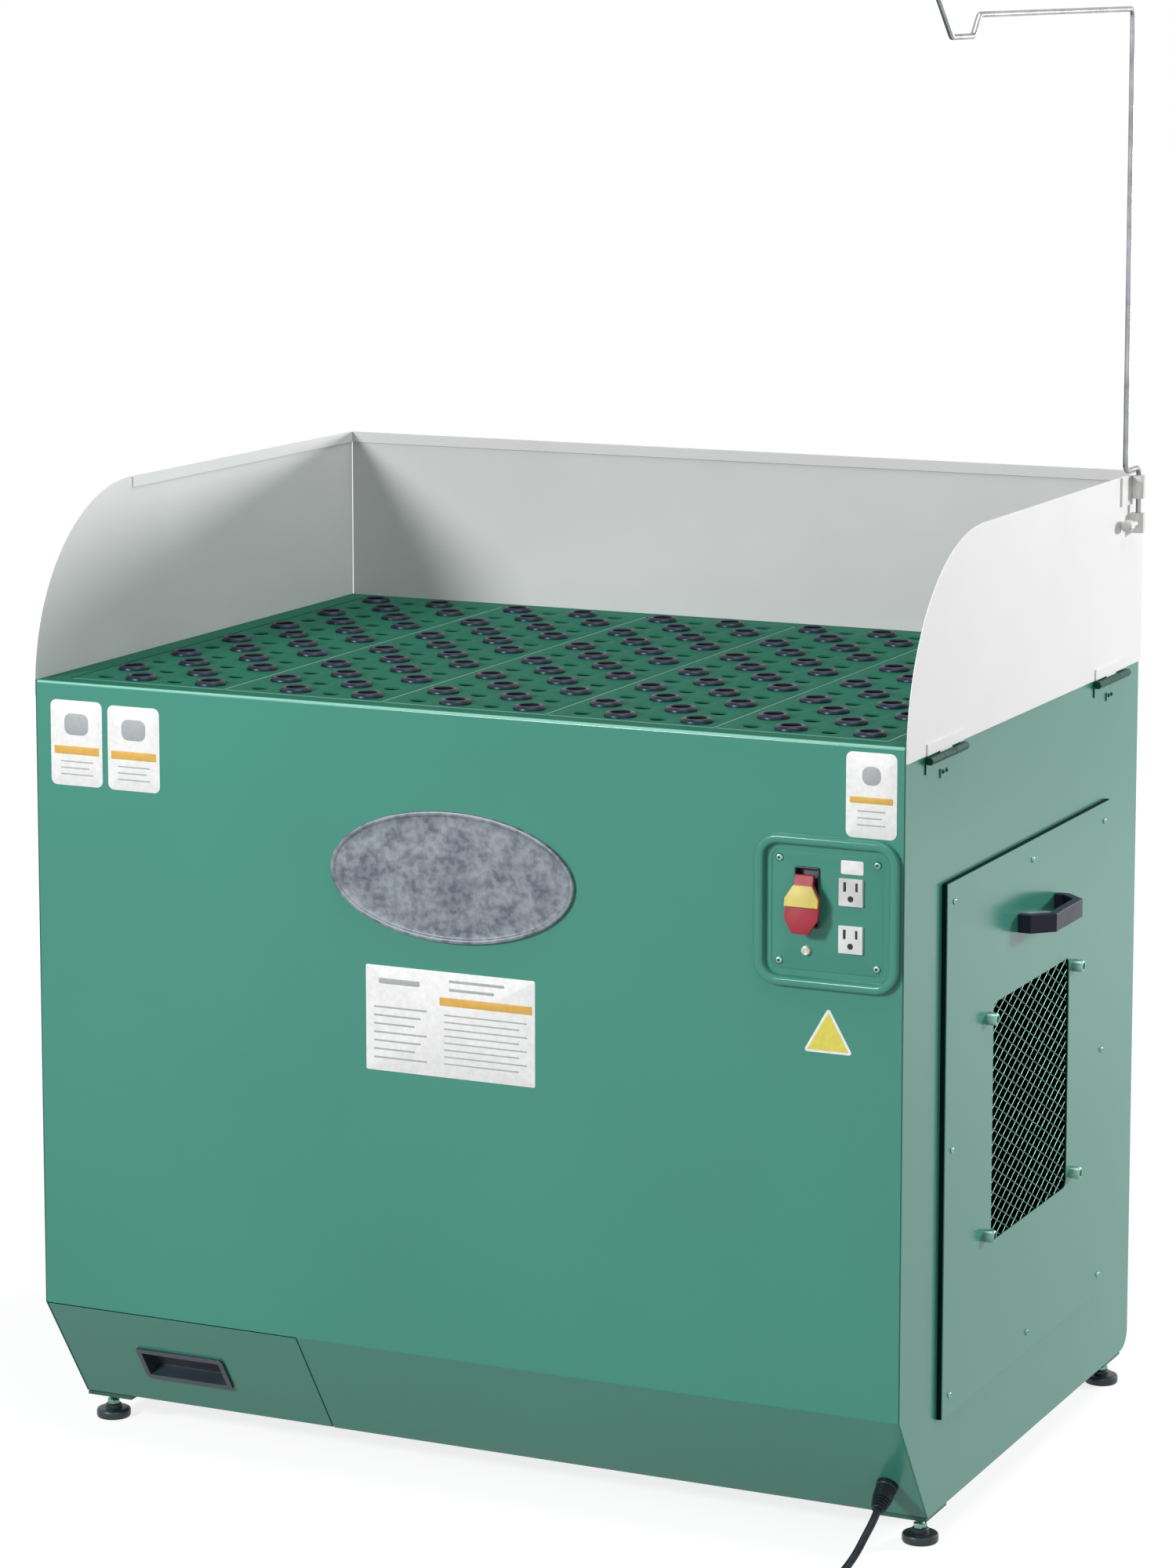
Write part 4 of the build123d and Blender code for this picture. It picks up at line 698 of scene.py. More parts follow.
def pan_head(radius, stand, recess=0.45):
    """Profile of a domed screw head: up from its rim in steps, with a sunk middle."""
    sunk = stand * (1 - recess)
    return [(0, 0), (radius, 0), (radius, stand * 0.3), (radius * 0.85, stand * 0.75), (radius * 0.6, stand),
            (radius * 0.34, stand), (radius * 0.3, sunk), (0, sunk)]


def screw_heads(name, body, radius, spots, side, node):
    """Domed heads, each with a six-sided socket in its middle, filled in near-black as painted shade."""
    form, stand = Form(), 2.2
    low, high, reach = stand * 0.3, stand * 0.75, radius * 0.36
    for spot in spots:
        form.lay(turned(pan_head(radius, stand), 20), spot, side)
        form.lay(turned([(0, low), (reach, low), (reach, high), (0, high)], 6), spot, side, finish=1)
    form.piece(name, body, "green_zinc slot", "zinc_steel", node)


class DOWNDRAFT_OT_guards(bpy.types.Operator):
    """Paint the three splash guards and their hinges"""

    bl_idname = "downdraft.guards"
    bl_label = "Splash guards and hinges"

    def execute(self, context):
        for node, paint in (("left_guard", "guard"), ("right_guard", "guard"), ("back_guard", "back_guard")):
            softened(node, node, paint, 0.5)
            # The leaves below the guard's foot take the dark green painted shade.
            below(softened(node + "_leaves", node, paint + " hinge", 0.4), GUARD_FOOT)
        low, high = box("hinge_brackets")
        # The brackets' top 9 mm take the dark green painted shade; below stays cabinet green.
        below(softened("hinge_brackets", "cabinet", "hinge green", 0.4), high[2] - 9 * MM)
        heads = Form()
        for x, y, turn in HINGE_TONGUES:
            across = np.array([-np.sin(turn), np.cos(turn), 0])
            out = np.array([np.cos(turn), np.sin(turn), 0])
            for step in (-5, 5):
                spot = np.array([x, y, low[2] / MM + 6]) + across * step
                heads.lay(turned(pan_head(2.2, 1.4), 12), spot, (across, (0, 0, 1), out))
        heads.piece("hinge_screws", "cabinet", "slot", "zinc_steel")
        return {"FINISHED"}


# Perforated panels


def hole_places(low, high):
    """Columns' x and rows' y of the holes, centred between two corners, and every hole's column and row."""
    x, y = (middle + (np.arange(count) - (count - 1) / 2) * pitch for middle, count, pitch in
            zip((low + high) / 2, (COLUMNS, ROWS), (COLUMN_PITCH, ROW_PITCH)))
    column, row = (a.ravel() for a in np.meshgrid(np.arange(COLUMNS), np.arange(ROWS)))
    return x, y, column, row


def hole_cells(low, high, plain, seat, bottom, top):
    """Sheet with round holes between two corners, and its cells' edges along x and y.

    Round each hole a ring of points on its cell's rectangle is joined to a circle, above and below, and
    the hole's wall joins the two. In a chequer, every second hole is a ring's seat.
    """
    x, y, column, row = hole_places(low, high)
    x_edges = np.r_[low[0], (x[1:] + x[:-1]) / 2, high[0]]
    y_edges = np.r_[low[1], (y[1:] + y[:-1]) / 2, high[1]]
    share, one = np.arange(CELL_STEPS) / CELL_STEPS, np.ones(CELL_STEPS)
    u = np.r_[share, one, 1 - share, 0 * one]
    v = np.r_[0 * one, share, one, 1 - share]
    rim = np.stack([x_edges[column][:, None] * (1 - u) + x_edges[column + 1][:, None] * u,
                    y_edges[row][:, None] * (1 - v) + y_edges[row + 1][:, None] * v], -1)
    around = circle(4 * CELL_STEPS, np.radians(-135))
    centre = np.stack([x[column], y[row]], -1)[:, None]
    radius = np.where((row + column) % 2 == 0, plain, seat)[:, None, None]
    soft = 0.5 * MM
    rings = [(rim, bottom), (centre + radius * around, bottom), (centre + radius * around, top - soft),
             (centre + (radius + soft * 0.3) * around, top - soft * 0.3),
             (centre + (radius + soft) * around, top), (rim, top)]
    rings = [np.concatenate([ring, np.full(ring.shape[:2] + (1,), z)], -1) for ring, z in rings]
    return np.stack(rings, 1), x_edges, y_edges


def sheet_skirt(x_edges, y_edges, profile):
    """Turned-down edge: the sheet's outline, point for point, pushed out and down by steps of a profile."""
    share = np.arange(CELL_STEPS) / CELL_STEPS
    xs, ys = (np.concatenate([a + (b - a) * share for a, b in zip(edges, edges[1:])])
              for edges in (x_edges, y_edges))
    (x_low, y_low), (x_high, y_high) = low, high = np.array([[x_edges[i], y_edges[i]] for i in (0, -1)])
    loop = np.concatenate([np.stack(run, -1) for run in (
        (xs, xs * 0 + y_low), (ys * 0 + x_high, ys),
        (x_low + x_high - xs, xs * 0 + y_high), (ys * 0 + x_low, y_low + y_high - ys))])
    push = np.isclose(loop, high) * 1.0 - np.isclose(loop, low)
    return lifted((loop + push * out, z) for out, z in profile)


class DOWNDRAFT_OT_worktop(bpy.types.Operator):
    """Build the perforated panels and their rubber rings"""

    bl_idname = "downdraft.worktop"
    bl_label = "Perforated panels and rings"

    def execute(self, context):
        rings = context.scene.downdraft_rings
        bore = rings.bore / 2 / MM
        crown = [(bore + 0.5, 4), (bore + 1.4, 4.7), (bore + 2.8, 5), (14, 4.8), (15.4, 4), (16.5, 2.6),
                 (17, 1), (17, 0.02), (bore, 0.02)]
        ring = turned(crown, rings.sides) * MM
        wall = turned([(bore, 0.02), (bore, 3), (bore + 0.5, 4)], rings.sides) * MM
        inset = np.array([PANEL_FOLD, PANEL_FOLD, 0])
        for i in range(1, PANELS + 1):
            low, high = box(f"perforated_panel_{i}")
            top, under = high[2], high[2] - PANEL_SHEET
            cells, *edges = hole_cells(low + inset, high - inset, rings.plain_hole / 2,
                                       rings.bore / 2 + 1 * MM, under, top)
            drop = [(0, top), (1.06 * MM, top - 0.44 * MM), (PANEL_FOLD, top - PANEL_FOLD),
                    (PANEL_FOLD, low[2]), (-0.3 * MM, low[2]), (0, under)]
            # The panel sheets' tops take the darker green painted as shade; their turned-down skirts take the
            # cabinet green.
            Form().grid(cells).grid(sheet_skirt(*edges, drop), finish=1).piece(
                f"panel_sheet_{i}", f"panel_{i}", "panel green", "panel_paint", f"perforated_panel_{i}")
            x, y, column, row = hole_places(low, high)
            ringed = (row + column) % 2 == 1
            centre = np.stack([x[column[ringed]], y[row[ringed]], np.full(ringed.sum(), top)], -1)
            # Each ring's bore wall is painted near-black as shade.
            Form().grid(centre[:, None, None] + ring).grid(centre[:, None, None] + wall, finish=1).piece(
                f"rubber_rings_{i}", f"panel_{i}", "rubber recess", "grommet_rubber", f"rubber_grommets_{i}")
        return {"FINISHED"}


# Side cover


def expanded_strands(low, high, columns, rows, width):
    """Expanded metal: each strand zigzags by half the pitch and its neighbours mirror it.

    Each straight run is a flat ribbon, twisted up where it climbs and down where it falls.
    """
    knots = np.linspace(low[1] + 3 * MM, high[1] - 3 * MM, 2 * columns + 1)
    pitch = (high[2] - low[2] - 8 * MM) / rows
    short = 0.06 * (knots[1] - knots[0])
    y = np.stack([knots[:-1] + short, knots[1:] - short], -1).ravel()
    climb = np.where(np.arange(2 * columns) % 2 == 0, 1, -1)
    wave = np.stack([-climb, climb], -1).ravel() * (pitch / 2 - 0.3 * MM)
    sign = np.where(np.arange(rows) % 2 == 0, 1, -1)[:, None]
    z = low[2] + 4 * MM + (np.arange(rows)[:, None] + 0.5) * pitch + sign * wave
    twist = np.radians(np.where(sign * np.repeat(climb, 2) > 0, 62, -20))
    across, through = np.array([-1, 1, 1, -1]) * width / 2, np.array([-1, -1, 1, 1]) * 0.4 * MM
    turn, lean = np.cos(twist)[..., None], np.sin(twist)[..., None]
    x = low[0] + 1.0 * MM + through * turn + across * lean * 0.7
    z = z[..., None] + across * turn - through * lean
    return np.stack([x, np.broadcast_to(y[:, None], x.shape), z], -1)


class DOWNDRAFT_OT_side_cover(bpy.types.Operator):
    """Build the exhaust mesh, the nuts round it, the cover's screws and its handle"""

    bl_idname = "downdraft.side_cover"
    bl_label = "Side cover fittings"

    def execute(self, context):
        sizes = context.scene.downdraft_mesh
        strands = expanded_strands(*box("exhaust_mesh"), sizes.columns, sizes.rows, sizes.strand)
        Form().grid(strands).piece("exhaust_strands", "side_cover", "wire", "zinc_steel", "exhaust_mesh")
        # The foam's near-black is the gasket's colour and also painted shadow under the cover's edge.
        foam = moulding(514, 559.5, 1, [(-0.6, -4.4), (-0.6, 0), (26, 0), (26, -4.4)])
        Form().lay(foam, COVER_MIDDLE, RIGHT_SIDE, along=True).piece(
            "foam_gasket", "cabinet", "foam", "foam", "cover_gasket")
        places = [(y, z) for z in (155, 672.5) for y in (126, 363, 600)] + [(y, 413.75) for y in (126, 600)]
        screw_heads("cover_screw_heads", "side_cover", 3.4, [(COVER_FACE, *place) for place in places],
                    RIGHT_SIDE, "cover_screws")
        nuts = Form()
        nut = [(0, 0), (6.8, 0), (6.8, 9.4), (6, 10.6), (5, 11), (3.8, 11), (3.4, 7), (0, 7)]
        for y in (229.5, 504.5):
            for z in (297, 529):
                nuts.lay(turned(nut, 28), (COVER_FACE, y, z), RIGHT_SIDE)
        nuts.piece("window_nuts", "side_cover", "green_zinc", "zinc_steel", "mesh_studs")
        softened("cover_handle", "side_cover", "handle", 1.2, 3)
        return {"FINISHED"}


# Controls

PADDLE = [(-10, 21), (-18, 8), (-18, -12), (-12, -22), (-8.5, -27), (8.5, -27), (12, -22), (18, -12), (18, 8),
          (10, 21), (10, 31), (-10, 31)]
PADDLE_KEY = [(-18, 0), (18, 0), (18, 8), (10, 21), (-10, 21), (-18, 8)]


def leaned(corners, middle, start, thick):
    """Flat plate on an outline, leaned back towards the switch by a share of its height above its foot."""
    corners = np.array(corners, float)
    away = corners - middle
    reach = np.linalg.norm(away, axis=1)[:, None]
    layers = ((0.6, 0), (0, 0.5), (0, thick - 0.6), (0.2, thick - 0.2), (0.9, thick))
    shape = shut(lifted((corners - pull * away / reach, start + rise) for pull, rise in layers), middle)
    shape[..., 2] += PADDLE_STAND - PADDLE_LEAN * (shape[..., 1] - PADDLE_FOOT)
    return shape


class DOWNDRAFT_OT_controls(bpy.types.Operator):
    """Build the switch, its key, the reset button, the outlets and the plate's screws"""

    bl_idname = "downdraft.controls"
    bl_label = "Control panel"

    def execute(self, context):
        ridge = [(0, 0), (0, 4.4), (0.5, 6.2), (1.6, 7.4), (3.2, 7.9), (6.4, 7.9), (8.2, 7.4), (9.6, 6),
                 (10.4, 3.4), (10.8, 0), (11, -3), (9, -3), (8.6, -0.1)]
        Form().lay(moulding(155, 155, 25, ridge), (PLATE_X, 0, PLATE_Z), along=True).piece(
            "pressed_bezel", "cabinet", "green", "green_paint", "control_bezel")
        plate, offset = Form(), np.array([SWITCH_X - PLATE_X, SWITCH_Z - PLATE_Z])
        # The wider back plate is near-black, painted shade in the groove round the raised plate.
        for size, radius, layers, finish in ((136, 16, [(0, 0), (0, 0.4), (0.2, 0.6)], 1),
                                             (127.6, 12, [(0, 0.5), (0, 1.8), (0.2, 2.3), (0.7, 2.5)], 0)):
            plate.lay(windowed(size, radius, layers, SWITCH_WINDOW, offset), (PLATE_X, 3, PLATE_Z),
                      along=True, finish=finish)
        plate.piece("control_panel_plate", "cabinet", "green inside", "green_paint", "control_plate")
        well = [(0, -1), (0, 2.2), (0.3, 2.8), (0.7, 3), (1.3, 3), (1.6, 2.8), (1.8, 2.2), (1.8, -8), (1, -8),
                (1, -1)]
        case = Form().lay(moulding(27, 62, 2, well), (SWITCH_X, 1.5, SWITCH_Z), along=True)
        case.lay(slab(24, 59, 1, -7, 0.3, -9), (SWITCH_X, 1.5, SWITCH_Z))
        case.piece("switch_well", "cabinet", "navy", "black_plastic", "switch_body")
        red = Form().lay(leaned(PADDLE, (0, 0), 0.0, 5.0), PADDLE_SPOT)
        red.lay(slab(12, 12, 1.5, 8, 0.5, -8.5), PADDLE_SPOT)
        red.piece("stop_paddle", "switch_toggle", "red", "red_plastic", "switch_toggle", 30)
        Form().lay(leaned(PADDLE_KEY, (0, 10), 5.2, 3.0), PADDLE_SPOT).piece(
            "lock_key", "switch_key", "yellow", "yellow_plastic", "switch_key", 30)
        softened("receptacles", "cabinet", "white", 0.6)
        # The outlets' slots and earth holes are near-black pads, painted shade for the holes.
        holes = Form()
        for z in (700, 652):
            for x, wide, tall in ((-BLADE_REACH, 3.0, 9.6), (BLADE_REACH, 2.5, 8.4)):
                holes.lay(slab(wide, tall, 0.5, 1.2, 0.1), (OUTLET_X + x, OUTLET_FACE, z + 5.6))
            holes.lay(turned([(0, 0), (3.1, 0), (3.1, 1.2), (0, 1.2)], 20), (OUTLET_X, OUTLET_FACE, z - 6.4))
        holes.piece("outlet_slots", "cabinet", "slot", "black_plastic")
        button = [(0, -8), (5, -8), (5, 3.4), (4.4, 4.6), (3.2, 5), (2.2, 4.6), (0, 4.4)]
        Form().lay(turned(button, 28), (895.6, 1.5, 637)).piece(
            "reset_cap", "reset_button", "button", "pale_plastic", "reset_button")
        reach = (-PLATE_SCREW_REACH, PLATE_SCREW_REACH)
        spots = [(PLATE_X + x, 0.5, PLATE_Z + z) for x in reach for z in reach]
        screw_heads("plate_screw_heads", "cabinet", 4.2, spots, FRONT_SIDE, "plate_screws")
        return {"FINISHED"}


# Labels and badge


def label(form, x0, x1, z0, z1, radius, finish=0):
    """Adds a thin rounded sticker on the front face; one in a later finish is print on top of a sticker."""
    base, thick = (0.3, 0.15) if finish else (0.0, 0.35)
    shape = slab(x1 - x0, z1 - z0, radius, base + thick, 0.15, base)
    form.lay(shape, ((x0 + x1) / 2, 0, (z0 + z1) / 2), finish=finish)


def bars(form, count, x0, x1, top, pitch, tall, radius, short, cycle):
    """Adds bars one under another, whose right ends draw in by turns, where lines of print would be."""
    for i in range(count):
        z = top - pitch * i
        label(form, x0, x1 - short * (i % cycle), z - tall, z, radius, 1)


def triangle(corners, inset):
    """Outline of a triangle about its middle: a third of a circle at each corner, drawn in by the inset."""
    middle, radius = corners.mean(0), 2.5 - min(inset, 2.0)
    inner = middle + (corners - middle) * (1 - (inset + radius) / 15.7)
    angle = np.radians([30, 150, 270])[:, None] + np.linspace(0, np.radians(120), 7)
    arc = inner[:, None] + radius * np.stack([np.cos(angle), np.sin(angle)], -1)
    return arc.reshape(-1, 2) - middle


class DOWNDRAFT_OT_labels(bpy.types.Operator):
    """Build the bare stickers, with plain bars where print would be"""

    bl_idname = "downdraft.labels"
    bl_label = "Plain labels"

    def execute(self, context):
        form = Form()
        for x0, x1, z0, z1, low, high in ((18.8, 82.5, 738, 830.6, 772, 781),
                                          (89.4, 153, 737.5, 828.7, 771, 780),
                                          (936.9, 991, 756, 842.5, 791, 797.5)):
            label(form, x0, x1, z0, z1, 7)
            label(form, x0 + 4, x1 - 4, low, high, 1, 2)
            bars(form, 3, x0 + 12, x1 - 12, low - 7, 7, 1.5, 0.5, 4, 2)
            label(form, x0 + 17, x1 - 17, high + 12, z1 - 14, 8, 1)
        label(form, 398.8, 595, 463.7, 576.2, 2)
        label(form, 485, 592, 540, 549, 0.8, 2)
        bars(form, 7, 408, 470, 533, 9, 2, 0.6, 7, 3)
        bars(form, 8, 490, 586, 531, 7.4, 1.6, 0.6, 9, 2)
        label(form, 414, 462, 557, 563, 1.5, 1)
        label(form, 496, 560, 565, 568, 1, 1)
        label(form, 496, 548, 556, 559, 1, 1)
        form.piece("front_labels", "cabinet", "film ink amber", "badge_metal")
        Form().lay(slab(24, 14, 1.5, 0.35, 0.15), (944, 0.5, 725)).piece(
            "outlet_label", "cabinet", "film", "badge_metal")
        corners = np.array([[920, 581], [893, 534], [946.5, 534]], float)
        x, z = corners.mean(0)
        sign = Form()
        for base, inset, finish in ((0.0, 0.0, 0), (0.3, 2.6, 1)):
            layers = [(inset, base), (inset, base + 0.2), (inset + 0.15, base + 0.35)]
            sign.lay(raised(lambda inset: triangle(corners, inset), layers), (x, 0, z), finish=finish)
        sign.piece("triangle_label", "cabinet", "film sign", "badge_metal")
        return {"FINISHED"}


class DOWNDRAFT_OT_badge(bpy.types.Operator):
    """Build the bare oval plate with its raised rim"""

    bl_idname = "downdraft.badge"
    bl_label = "Oval plate"

    def execute(self, context):
        low, high = box("badge_plate")
        wide, tall = (high - low)[[0, 2]] / MM
        x, _, z = ((low + high) / 2 - [LEFT, FRONT, 0]) / MM
        layers = [(0, 0), (0, 3.6), (0.5, 4.6), (1.6, 5), (3.4, 5), (4.8, 4.4), (5.6, 3.4), (7, 3),
                  (14, 3.1), (24, 3.3), (40, 3.5), (60, 3.6)]
        shape = raised(lambda inset: oval(wide - 2 * inset, tall - 2 * inset), layers)
        Form().lay(shape, (x, 0, z)).piece("oval_plate", "cabinet", "badge", "badge_metal", "badge_plate")
        return {"FINISHED"}


# Drawer pull, hanger and feet


class DOWNDRAFT_OT_drawer_pull(bpy.types.Operator):
    """Round the edges of the drawer's recessed pull"""

    bl_idname = "downdraft.drawer_pull"
    bl_label = "Drawer pull"

    def execute(self, context):
        softened("drawer_pull", "drawer", "pull", 1.2, 3)
        return {"FINISHED"}


class DOWNDRAFT_OT_hanger(bpy.types.Operator):
    """Build the hose hanger's rod, its fittings and its thumb screw"""

    bl_idname = "downdraft.hanger"
    bl_label = "Hose hanger"

    def execute(self, context):
        x, leg, jog, top, hook = 1009.6, 690.0, 642.0, 1563.0, 1542.0
        points = [(x, leg, 986), (x, leg, 1057), (x, jog, 1057), (x, jog, top), (x, 158, top),
                  (x, 140, hook), (x, 80, hook), (x, 36, top + 23)]
        path = filleted(points, [9, 9, 9, 7, 7, 7])
        Form().grid(at(carried(path, 3.0 * circle(20), (1, 0, 0)))).piece(
            "hanger_rod_round", "hanger_rod", "rod", "zinc_steel", "hanger_rod")
        softened("rod_fittings", "right_guard", "pale", 0.8, 3)
        knob = [(0, 0), (5.2, 0), (6.4, 0.8), (6.8, 2), (6.8, 11.6), (6.2, 13.2), (5, 14), (3, 14),
                (3, 38.2), (2.4, 38.7), (0, 38.7)]
        flutes, flute_depth, grip_end, grip_radius = 10, 0.07, 12, 5
        shape = turned(knob, 40)
        across, up, height = (shape[..., i:i + 1] for i in range(3))
        grip = (height < grip_end) & (np.hypot(across, up) > grip_radius)
        shape[..., :2] *= 1 - flute_depth * (np.cos(flutes * np.arctan2(up, across)) > 0) * grip
        Form().lay(shape, (x, 648, 995), ((1, 0, 0), (0, 0, -1), (0, 1, 0))).piece(
            "thumb_screw", "clamp_knob", "pale", "pale_plastic", "clamp_knob")
        return {"FINISHED"}


class DOWNDRAFT_OT_feet(bpy.types.Operator):
    """Build the levelling feet: pad, nut and stud"""

    bl_idname = "downdraft.feet"
    bl_label = "Levelling feet"

    def execute(self, context):
        pad = [(0, 0), (16.5, 0), (18.2, 0.6), (19, 2), (19, 7.6), (18.2, 9.2), (16.6, 10), (10, 10),
               (9, 10.6), (9, 14.2), (8.2, 15), (0, 15)]
        foot, end, turns = 15, 47, 16
        height = np.linspace(foot, end, 2 * turns + 1)
        thread = np.c_[np.where(np.arange(len(height)) % 2, 5.0, 4.4), height]
        stud = turned(np.r_[[[0, foot]], thread, [[0, end]]], 16)
        nut = raised(lambda inset: oval(15 - inset, 15 - inset, 6),
                     [(0.8, 15), (0, 15.6), (0, 19.4), (0.8, 20)])
        for depth, y in (("front", 110), ("back", 692)):
            for hand, x in (("left", 18), ("right", 982)):
                form = Form().lay(turned(pad, 40), (x, y, 0), FLOOR_SIDE)
                form.lay(stud, (x, y, 0), FLOOR_SIDE, finish=1).lay(nut, (x, y, 0), FLOOR_SIDE, finish=1)
                node = f"foot_{depth}_{hand}"
                form.piece(node + "_pad", node, "foot green_zinc", "foot_rubber", node, 30)
        return {"FINISHED"}


# Cord


def coil_points(across, y, height, radius, rise):
    """Half turns of a coil that draws in on the floor, steps up and opens out again, and its end.

    Each is a half circle sampled at middles of equal steps, drawn a little wide, as the curve cuts corners.
    """
    share = (np.arange(9) + 0.5) / 9
    points, side = [], -1
    for i in range(COIL_HALF_TURNS):
        upper = i >= COIL_HALF_TURNS / 2
        climb = rise if i == COIL_HALF_TURNS / 2 else 0
        wide = radius * 1.005
        points += list(np.stack([across + side * radius - side * wide * np.cos(np.pi * share),
                                 y + (1 if i % 2 else -1) * wide * np.sin(np.pi * share),
                                 height + climb * share], -1))
        across += side * 2 * radius
        height += climb
        radius += rise / 2 if upper else -rise / 2
        side = -side
    return points, np.array([across, y, height])


def lead_curve(points, diameter):
    """Round cord along a smooth curve that the points pull towards them."""
    curve = bpy.data.curves.new("power_lead", "CURVE")
    curve.dimensions = "3D"
    spline = curve.splines.new("NURBS")
    spline.points.add(len(points) - 1)
    spline.points.foreach_set("co", np.c_[at(np.array(points)), np.ones(len(points))].ravel())
    spline.order_u = 3
    spline.use_endpoint_u = True
    curve.bevel_depth = diameter / 2 * MM
    curve.bevel_resolution = 5
    curve.resolution_u = 8
    curve.use_fill_caps = True
    curve.materials.append(material("cord"))
    lead = bpy.data.objects.new("power_lead", curve)
    bpy.context.scene.collection.objects.link(lead)
    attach(lead, "cabinet")
    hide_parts("power_cord", "cord_coil")
    return lead


def strain_relief(gland):
    """Flanged gland with four ribs that narrow towards its mouth."""
    ribs = []
    for i in range(4):
        r, z = 10.2 - 0.72 * i, 19 + 3.2 * i
        ribs += [(r, z), (r, z + 1.7), (r - 1.5, z + 1.9), (r - 1.5, z + 2.9)]
    relief = [(0, -3), (6, -3), (6, 0), (11.5, 0), (11.5, 4.8), (10.6, 6), (10.5, 15), (10.3, 18),
              *ribs, (7.4, 32.2), (6.8, 33), (0, 33)]
    Form().lay(turned(relief, 32), gland, TOE_SIDE).piece(
        "strain_relief_ribbed", "cabinet", "black", "black_plastic", "strain_relief")


def plug(start):
    """Moulded plug: ribbed neck, rounded body, two blades and a round earth pin."""
    neck = [(0, -2), (5.2, -2), (5.6, 0), (6, 2), (6, 4), (5.2, 4.4), (5.2, 5.6), (6.3, 6), (6.3, 8.4),
            (5.4, 8.8), (5.4, 10), (6.8, 10.4), (6.8, 13), (5.8, 13.4), (5.8, 14.6), (7.6, 15), (8.6, 22),
            (0, 22)]
    layers = [(6, 20), (3.4, 21), (1.2, 24), (0.3, 29), (0, 36), (0.2, 46), (0, 56.6), (0.5, 57.6), (1.4, 58)]
    body = raised(lambda inset: rounded(26 - 2 * inset, 24.4 - 2 * inset, 6 - inset * 0.5), layers)
    form = Form().lay(turned(neck, 28), start).lay(body, start)
    for x in (-BLADE_REACH, BLADE_REACH):
        form.lay(slab(1.5, 6.4, 0.4, 76, 0.6, 57), start + [x, 0, 5.95], finish=1)
    pin = [(0, 57), (2.35, 57), (2.35, 74), (1.4, 76), (0, 76)]
    form.lay(turned(pin, 20), start - [0, 0, 5.95], finish=1)
    return form.piece("plug_moulded", "cabinet", "black brass", "cord_rubber", "plug")


class DOWNDRAFT_OT_cord(bpy.types.Operator):
    """Build the power cord, its strain relief and its plug"""

    bl_idname = "downdraft.cord"
    bl_label = "Power cord"

    def execute(self, context):
        diameter = context.scene.downdraft_cord.diameter / MM
        gland = np.array([966.0, (160 - 75) * 84 / 125, 75.0])
        strain_relief(gland)
        mouth = gland + 33 * TOE_OUT
        route = [mouth, gland + 47 * TOE_OUT, (962.5, 4, 36.5), (958, -9, 21.5), (952, -27, 8.5),
                 (947.5, -53, 4.1), (945.4, -97, 4), (944.4, -145, 4), (944, -195, 4), (944, -245, 4)]
        coil, end = coil_points(944.0, -245.0, 4.0, 115.0, 8.6)
        tail = [end - [0, reach, 0] for reach in (0, 8, 30, 58)]
        lead = lead_curve([*route, *coil, *tail], diameter)
        cap = plug(end - [0, 50, 0])
        return {"FINISHED"}


# Stage


def aimed(name, data, spot, back):
    """A lamp or camera at a spot, looking away from a direction, with its top kept up."""
    holder = bpy.data.objects.new(name, data)
    holder.location = spot
    back = np.asarray(back, float) / np.linalg.norm(back)
    right = np.cross([0, 0, 1], back)
    right /= np.linalg.norm(right)
    holder.rotation_mode = "QUATERNION"
    turn = Matrix(np.stack([right, np.cross(back, right), back], 1).tolist())
    holder.rotation_quaternion = turn.to_quaternion()
    bpy.context.scene.collection.objects.link(holder)
    return holder


def floor_finish(tone):
    """Grey floor that the camera sees as even and brighter far off, while it takes light as a real one."""
    finish = Finish("floor_tone", tone, 0.9, Specular_IOR_Level=0.0, Emission_Strength=1.0)
    finish.colour(finish.inks(finish.noise(1.5), tone, shaded(tone, 0.985)))
    seen = finish.seen()
    away = finish.shade("ShaderNodeVectorMath", {"operation": "LENGTH"}, {0: finish.place}, "Value")
    glow = seen * (finish.band(away, 1.2, 4.0) * 0.18 + 0.82)
    finish.feed(finish.shader.inputs["Emission Color"], finish.tones(glow, (0.0, 0.0, 0.0), (1.0, 1.0, 1.0)))
    return finish.material


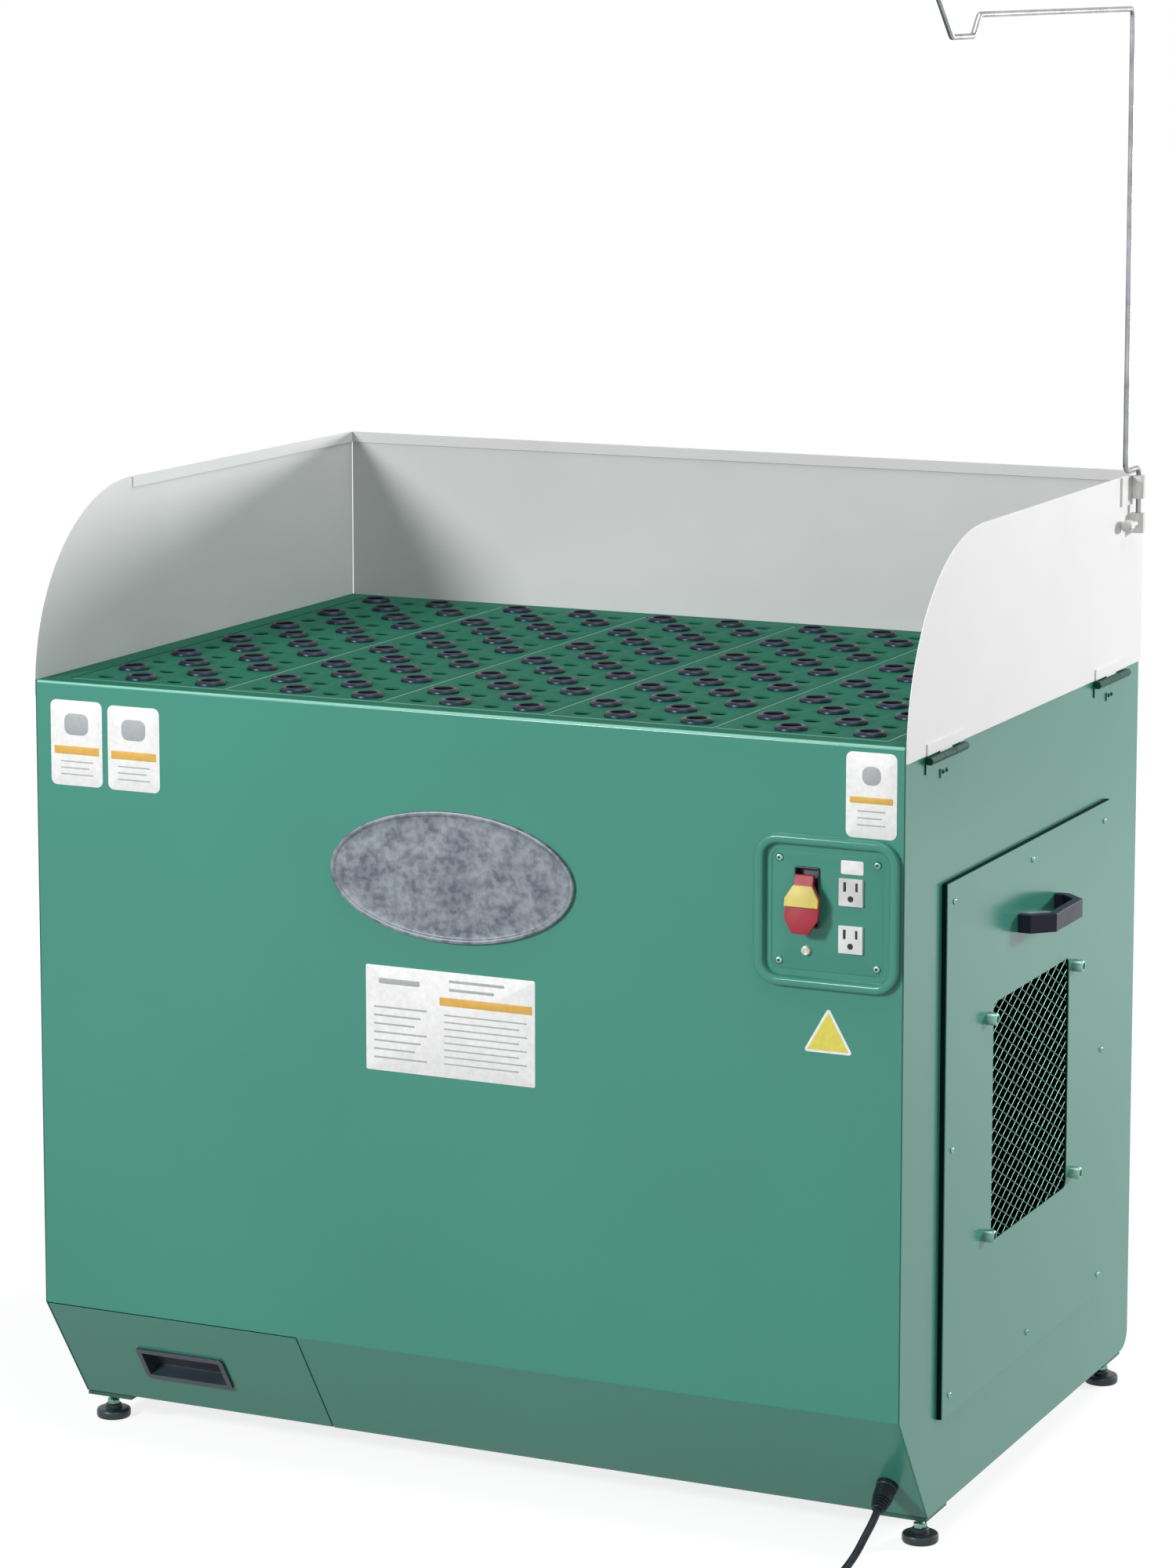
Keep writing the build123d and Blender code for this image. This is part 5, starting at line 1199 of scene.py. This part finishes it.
class DOWNDRAFT_OT_stage(bpy.types.Operator):
    """Set the floor, the soft lights and the camera"""

    bl_idname = "downdraft.stage"
    bl_label = "Stage"

    def execute(self, context):
        scene, stage = context.scene, context.scene.downdraft_stage
        scene.view_settings.view_transform = "Standard"
        floor = bpy.data.meshes.new("floor")
        corners = [(-FLOOR, -FLOOR, 0), (FLOOR, -FLOOR, 0), (FLOOR, FLOOR, 0), (-FLOOR, FLOOR, 0)]
        floor.from_pydata(corners, [], [(0, 1, 2, 3)])
        floor.materials.append(floor_finish(screen((stage.floor,) * 3)))
        ground = bpy.data.objects.new("floor", floor)
        scene.collection.objects.link(ground)
        scene.world = bpy.data.worlds.new("studio")
        scene.world.use_nodes = True
        studio = Nodes(scene.world.node_tree)
        background = studio.tree.nodes["Background"].inputs
        studio.feed(background["Color"], (1.0, 1.0, 1.0))
        studio.feed(background["Strength"], studio.band(studio.seen(), first=stage.sky))
        for name, spot, aim, size, share in (
                ("key_light", (-1.7, -4.2, 2.3), (0, 0, 0.5), 0.9, 1.3),
                ("side_light", (2.8, 2.9, 1.4), (0.5, 0, 0.5), 0.6, 0.88),
                ("fill_light", (3.0, -3.0, 1.2), (0, 0, 0.4), 2.6, 0.15),
                ("top_light", (0.9, -0.6, 4.0), (0, 0, 0.6), 2.4, 0.4)):
            lamp = bpy.data.lights.new(name, "AREA")
            lamp.shape, lamp.size, lamp.energy = "DISK", size, stage.key * share
            aimed(name, lamp, spot, np.array(spot) - aim)
        eye = bpy.data.cameras.new("camera")
        eye.sensor_width = SENSOR
        eye.lens = FOCAL_PIXELS / PHOTO_HEIGHT * SENSOR
        eye.shift_y = CAMERA_SHIFT
        eye.clip_end = 100.0
        yaw, dip = np.radians(CAMERA_YAW), np.radians(CAMERA_DIP)
        back = (np.sin(yaw) * np.cos(dip), -np.cos(yaw) * np.cos(dip), np.sin(dip))
        scene.camera = aimed("camera", eye, at(CAMERA_SPOT), back)
        return {"FINISHED"}


class DOWNDRAFT_PT_panel(bpy.types.Panel):
    """Lists the table's pieces in the sidebar"""

    bl_label = "Downdraft Table"
    bl_space_type = "VIEW_3D"
    bl_region_type = "UI"
    bl_category = "Downdraft Table"

    def draw(self, context):
        for operator, settings in PARTS:
            self.layout.operator(operator.bl_idname)
            group = getattr(context.scene, settings, None) if settings else None
            if group is not None:
                for name in type(group).__annotations__:
                    self.layout.prop(group, name)


PARTS = (
    (DOWNDRAFT_OT_stage, "downdraft_stage"),
    (DOWNDRAFT_OT_cord, "downdraft_cord"),
    (DOWNDRAFT_OT_cabinet, "downdraft_paint"),
    (DOWNDRAFT_OT_guards, None),
    (DOWNDRAFT_OT_worktop, "downdraft_rings"),
    (DOWNDRAFT_OT_side_cover, "downdraft_mesh"),
    (DOWNDRAFT_OT_controls, None),
    (DOWNDRAFT_OT_labels, None),
    (DOWNDRAFT_OT_badge, None),
    (DOWNDRAFT_OT_drawer_pull, None),
    (DOWNDRAFT_OT_hanger, None),
    (DOWNDRAFT_OT_feet, None),
)
SETTINGS = {
    "downdraft_paint": PaintSettings,
    "downdraft_rings": RingSettings,
    "downdraft_mesh": MeshSettings,
    "downdraft_cord": CordSettings,
    "downdraft_stage": StageSettings,
}
CLASSES = (*SETTINGS.values(), *(operator for operator, _ in PARTS), DOWNDRAFT_PT_panel)


def register():
    for entry in CLASSES:
        bpy.utils.register_class(entry)
    for name, group in SETTINGS.items():
        setattr(bpy.types.Scene, name, bpy.props.PointerProperty(type=group))


def unregister():
    for name in SETTINGS:
        delattr(bpy.types.Scene, name)
    for entry in reversed(CLASSES):
        bpy.utils.unregister_class(entry)


def main():
    """Makes every piece in order."""
    register()
    for operator, _ in PARTS:
        family, name = operator.bl_idname.split(".")
        getattr(getattr(bpy.ops, family), name)()


if __name__ == "__main__":
    main()
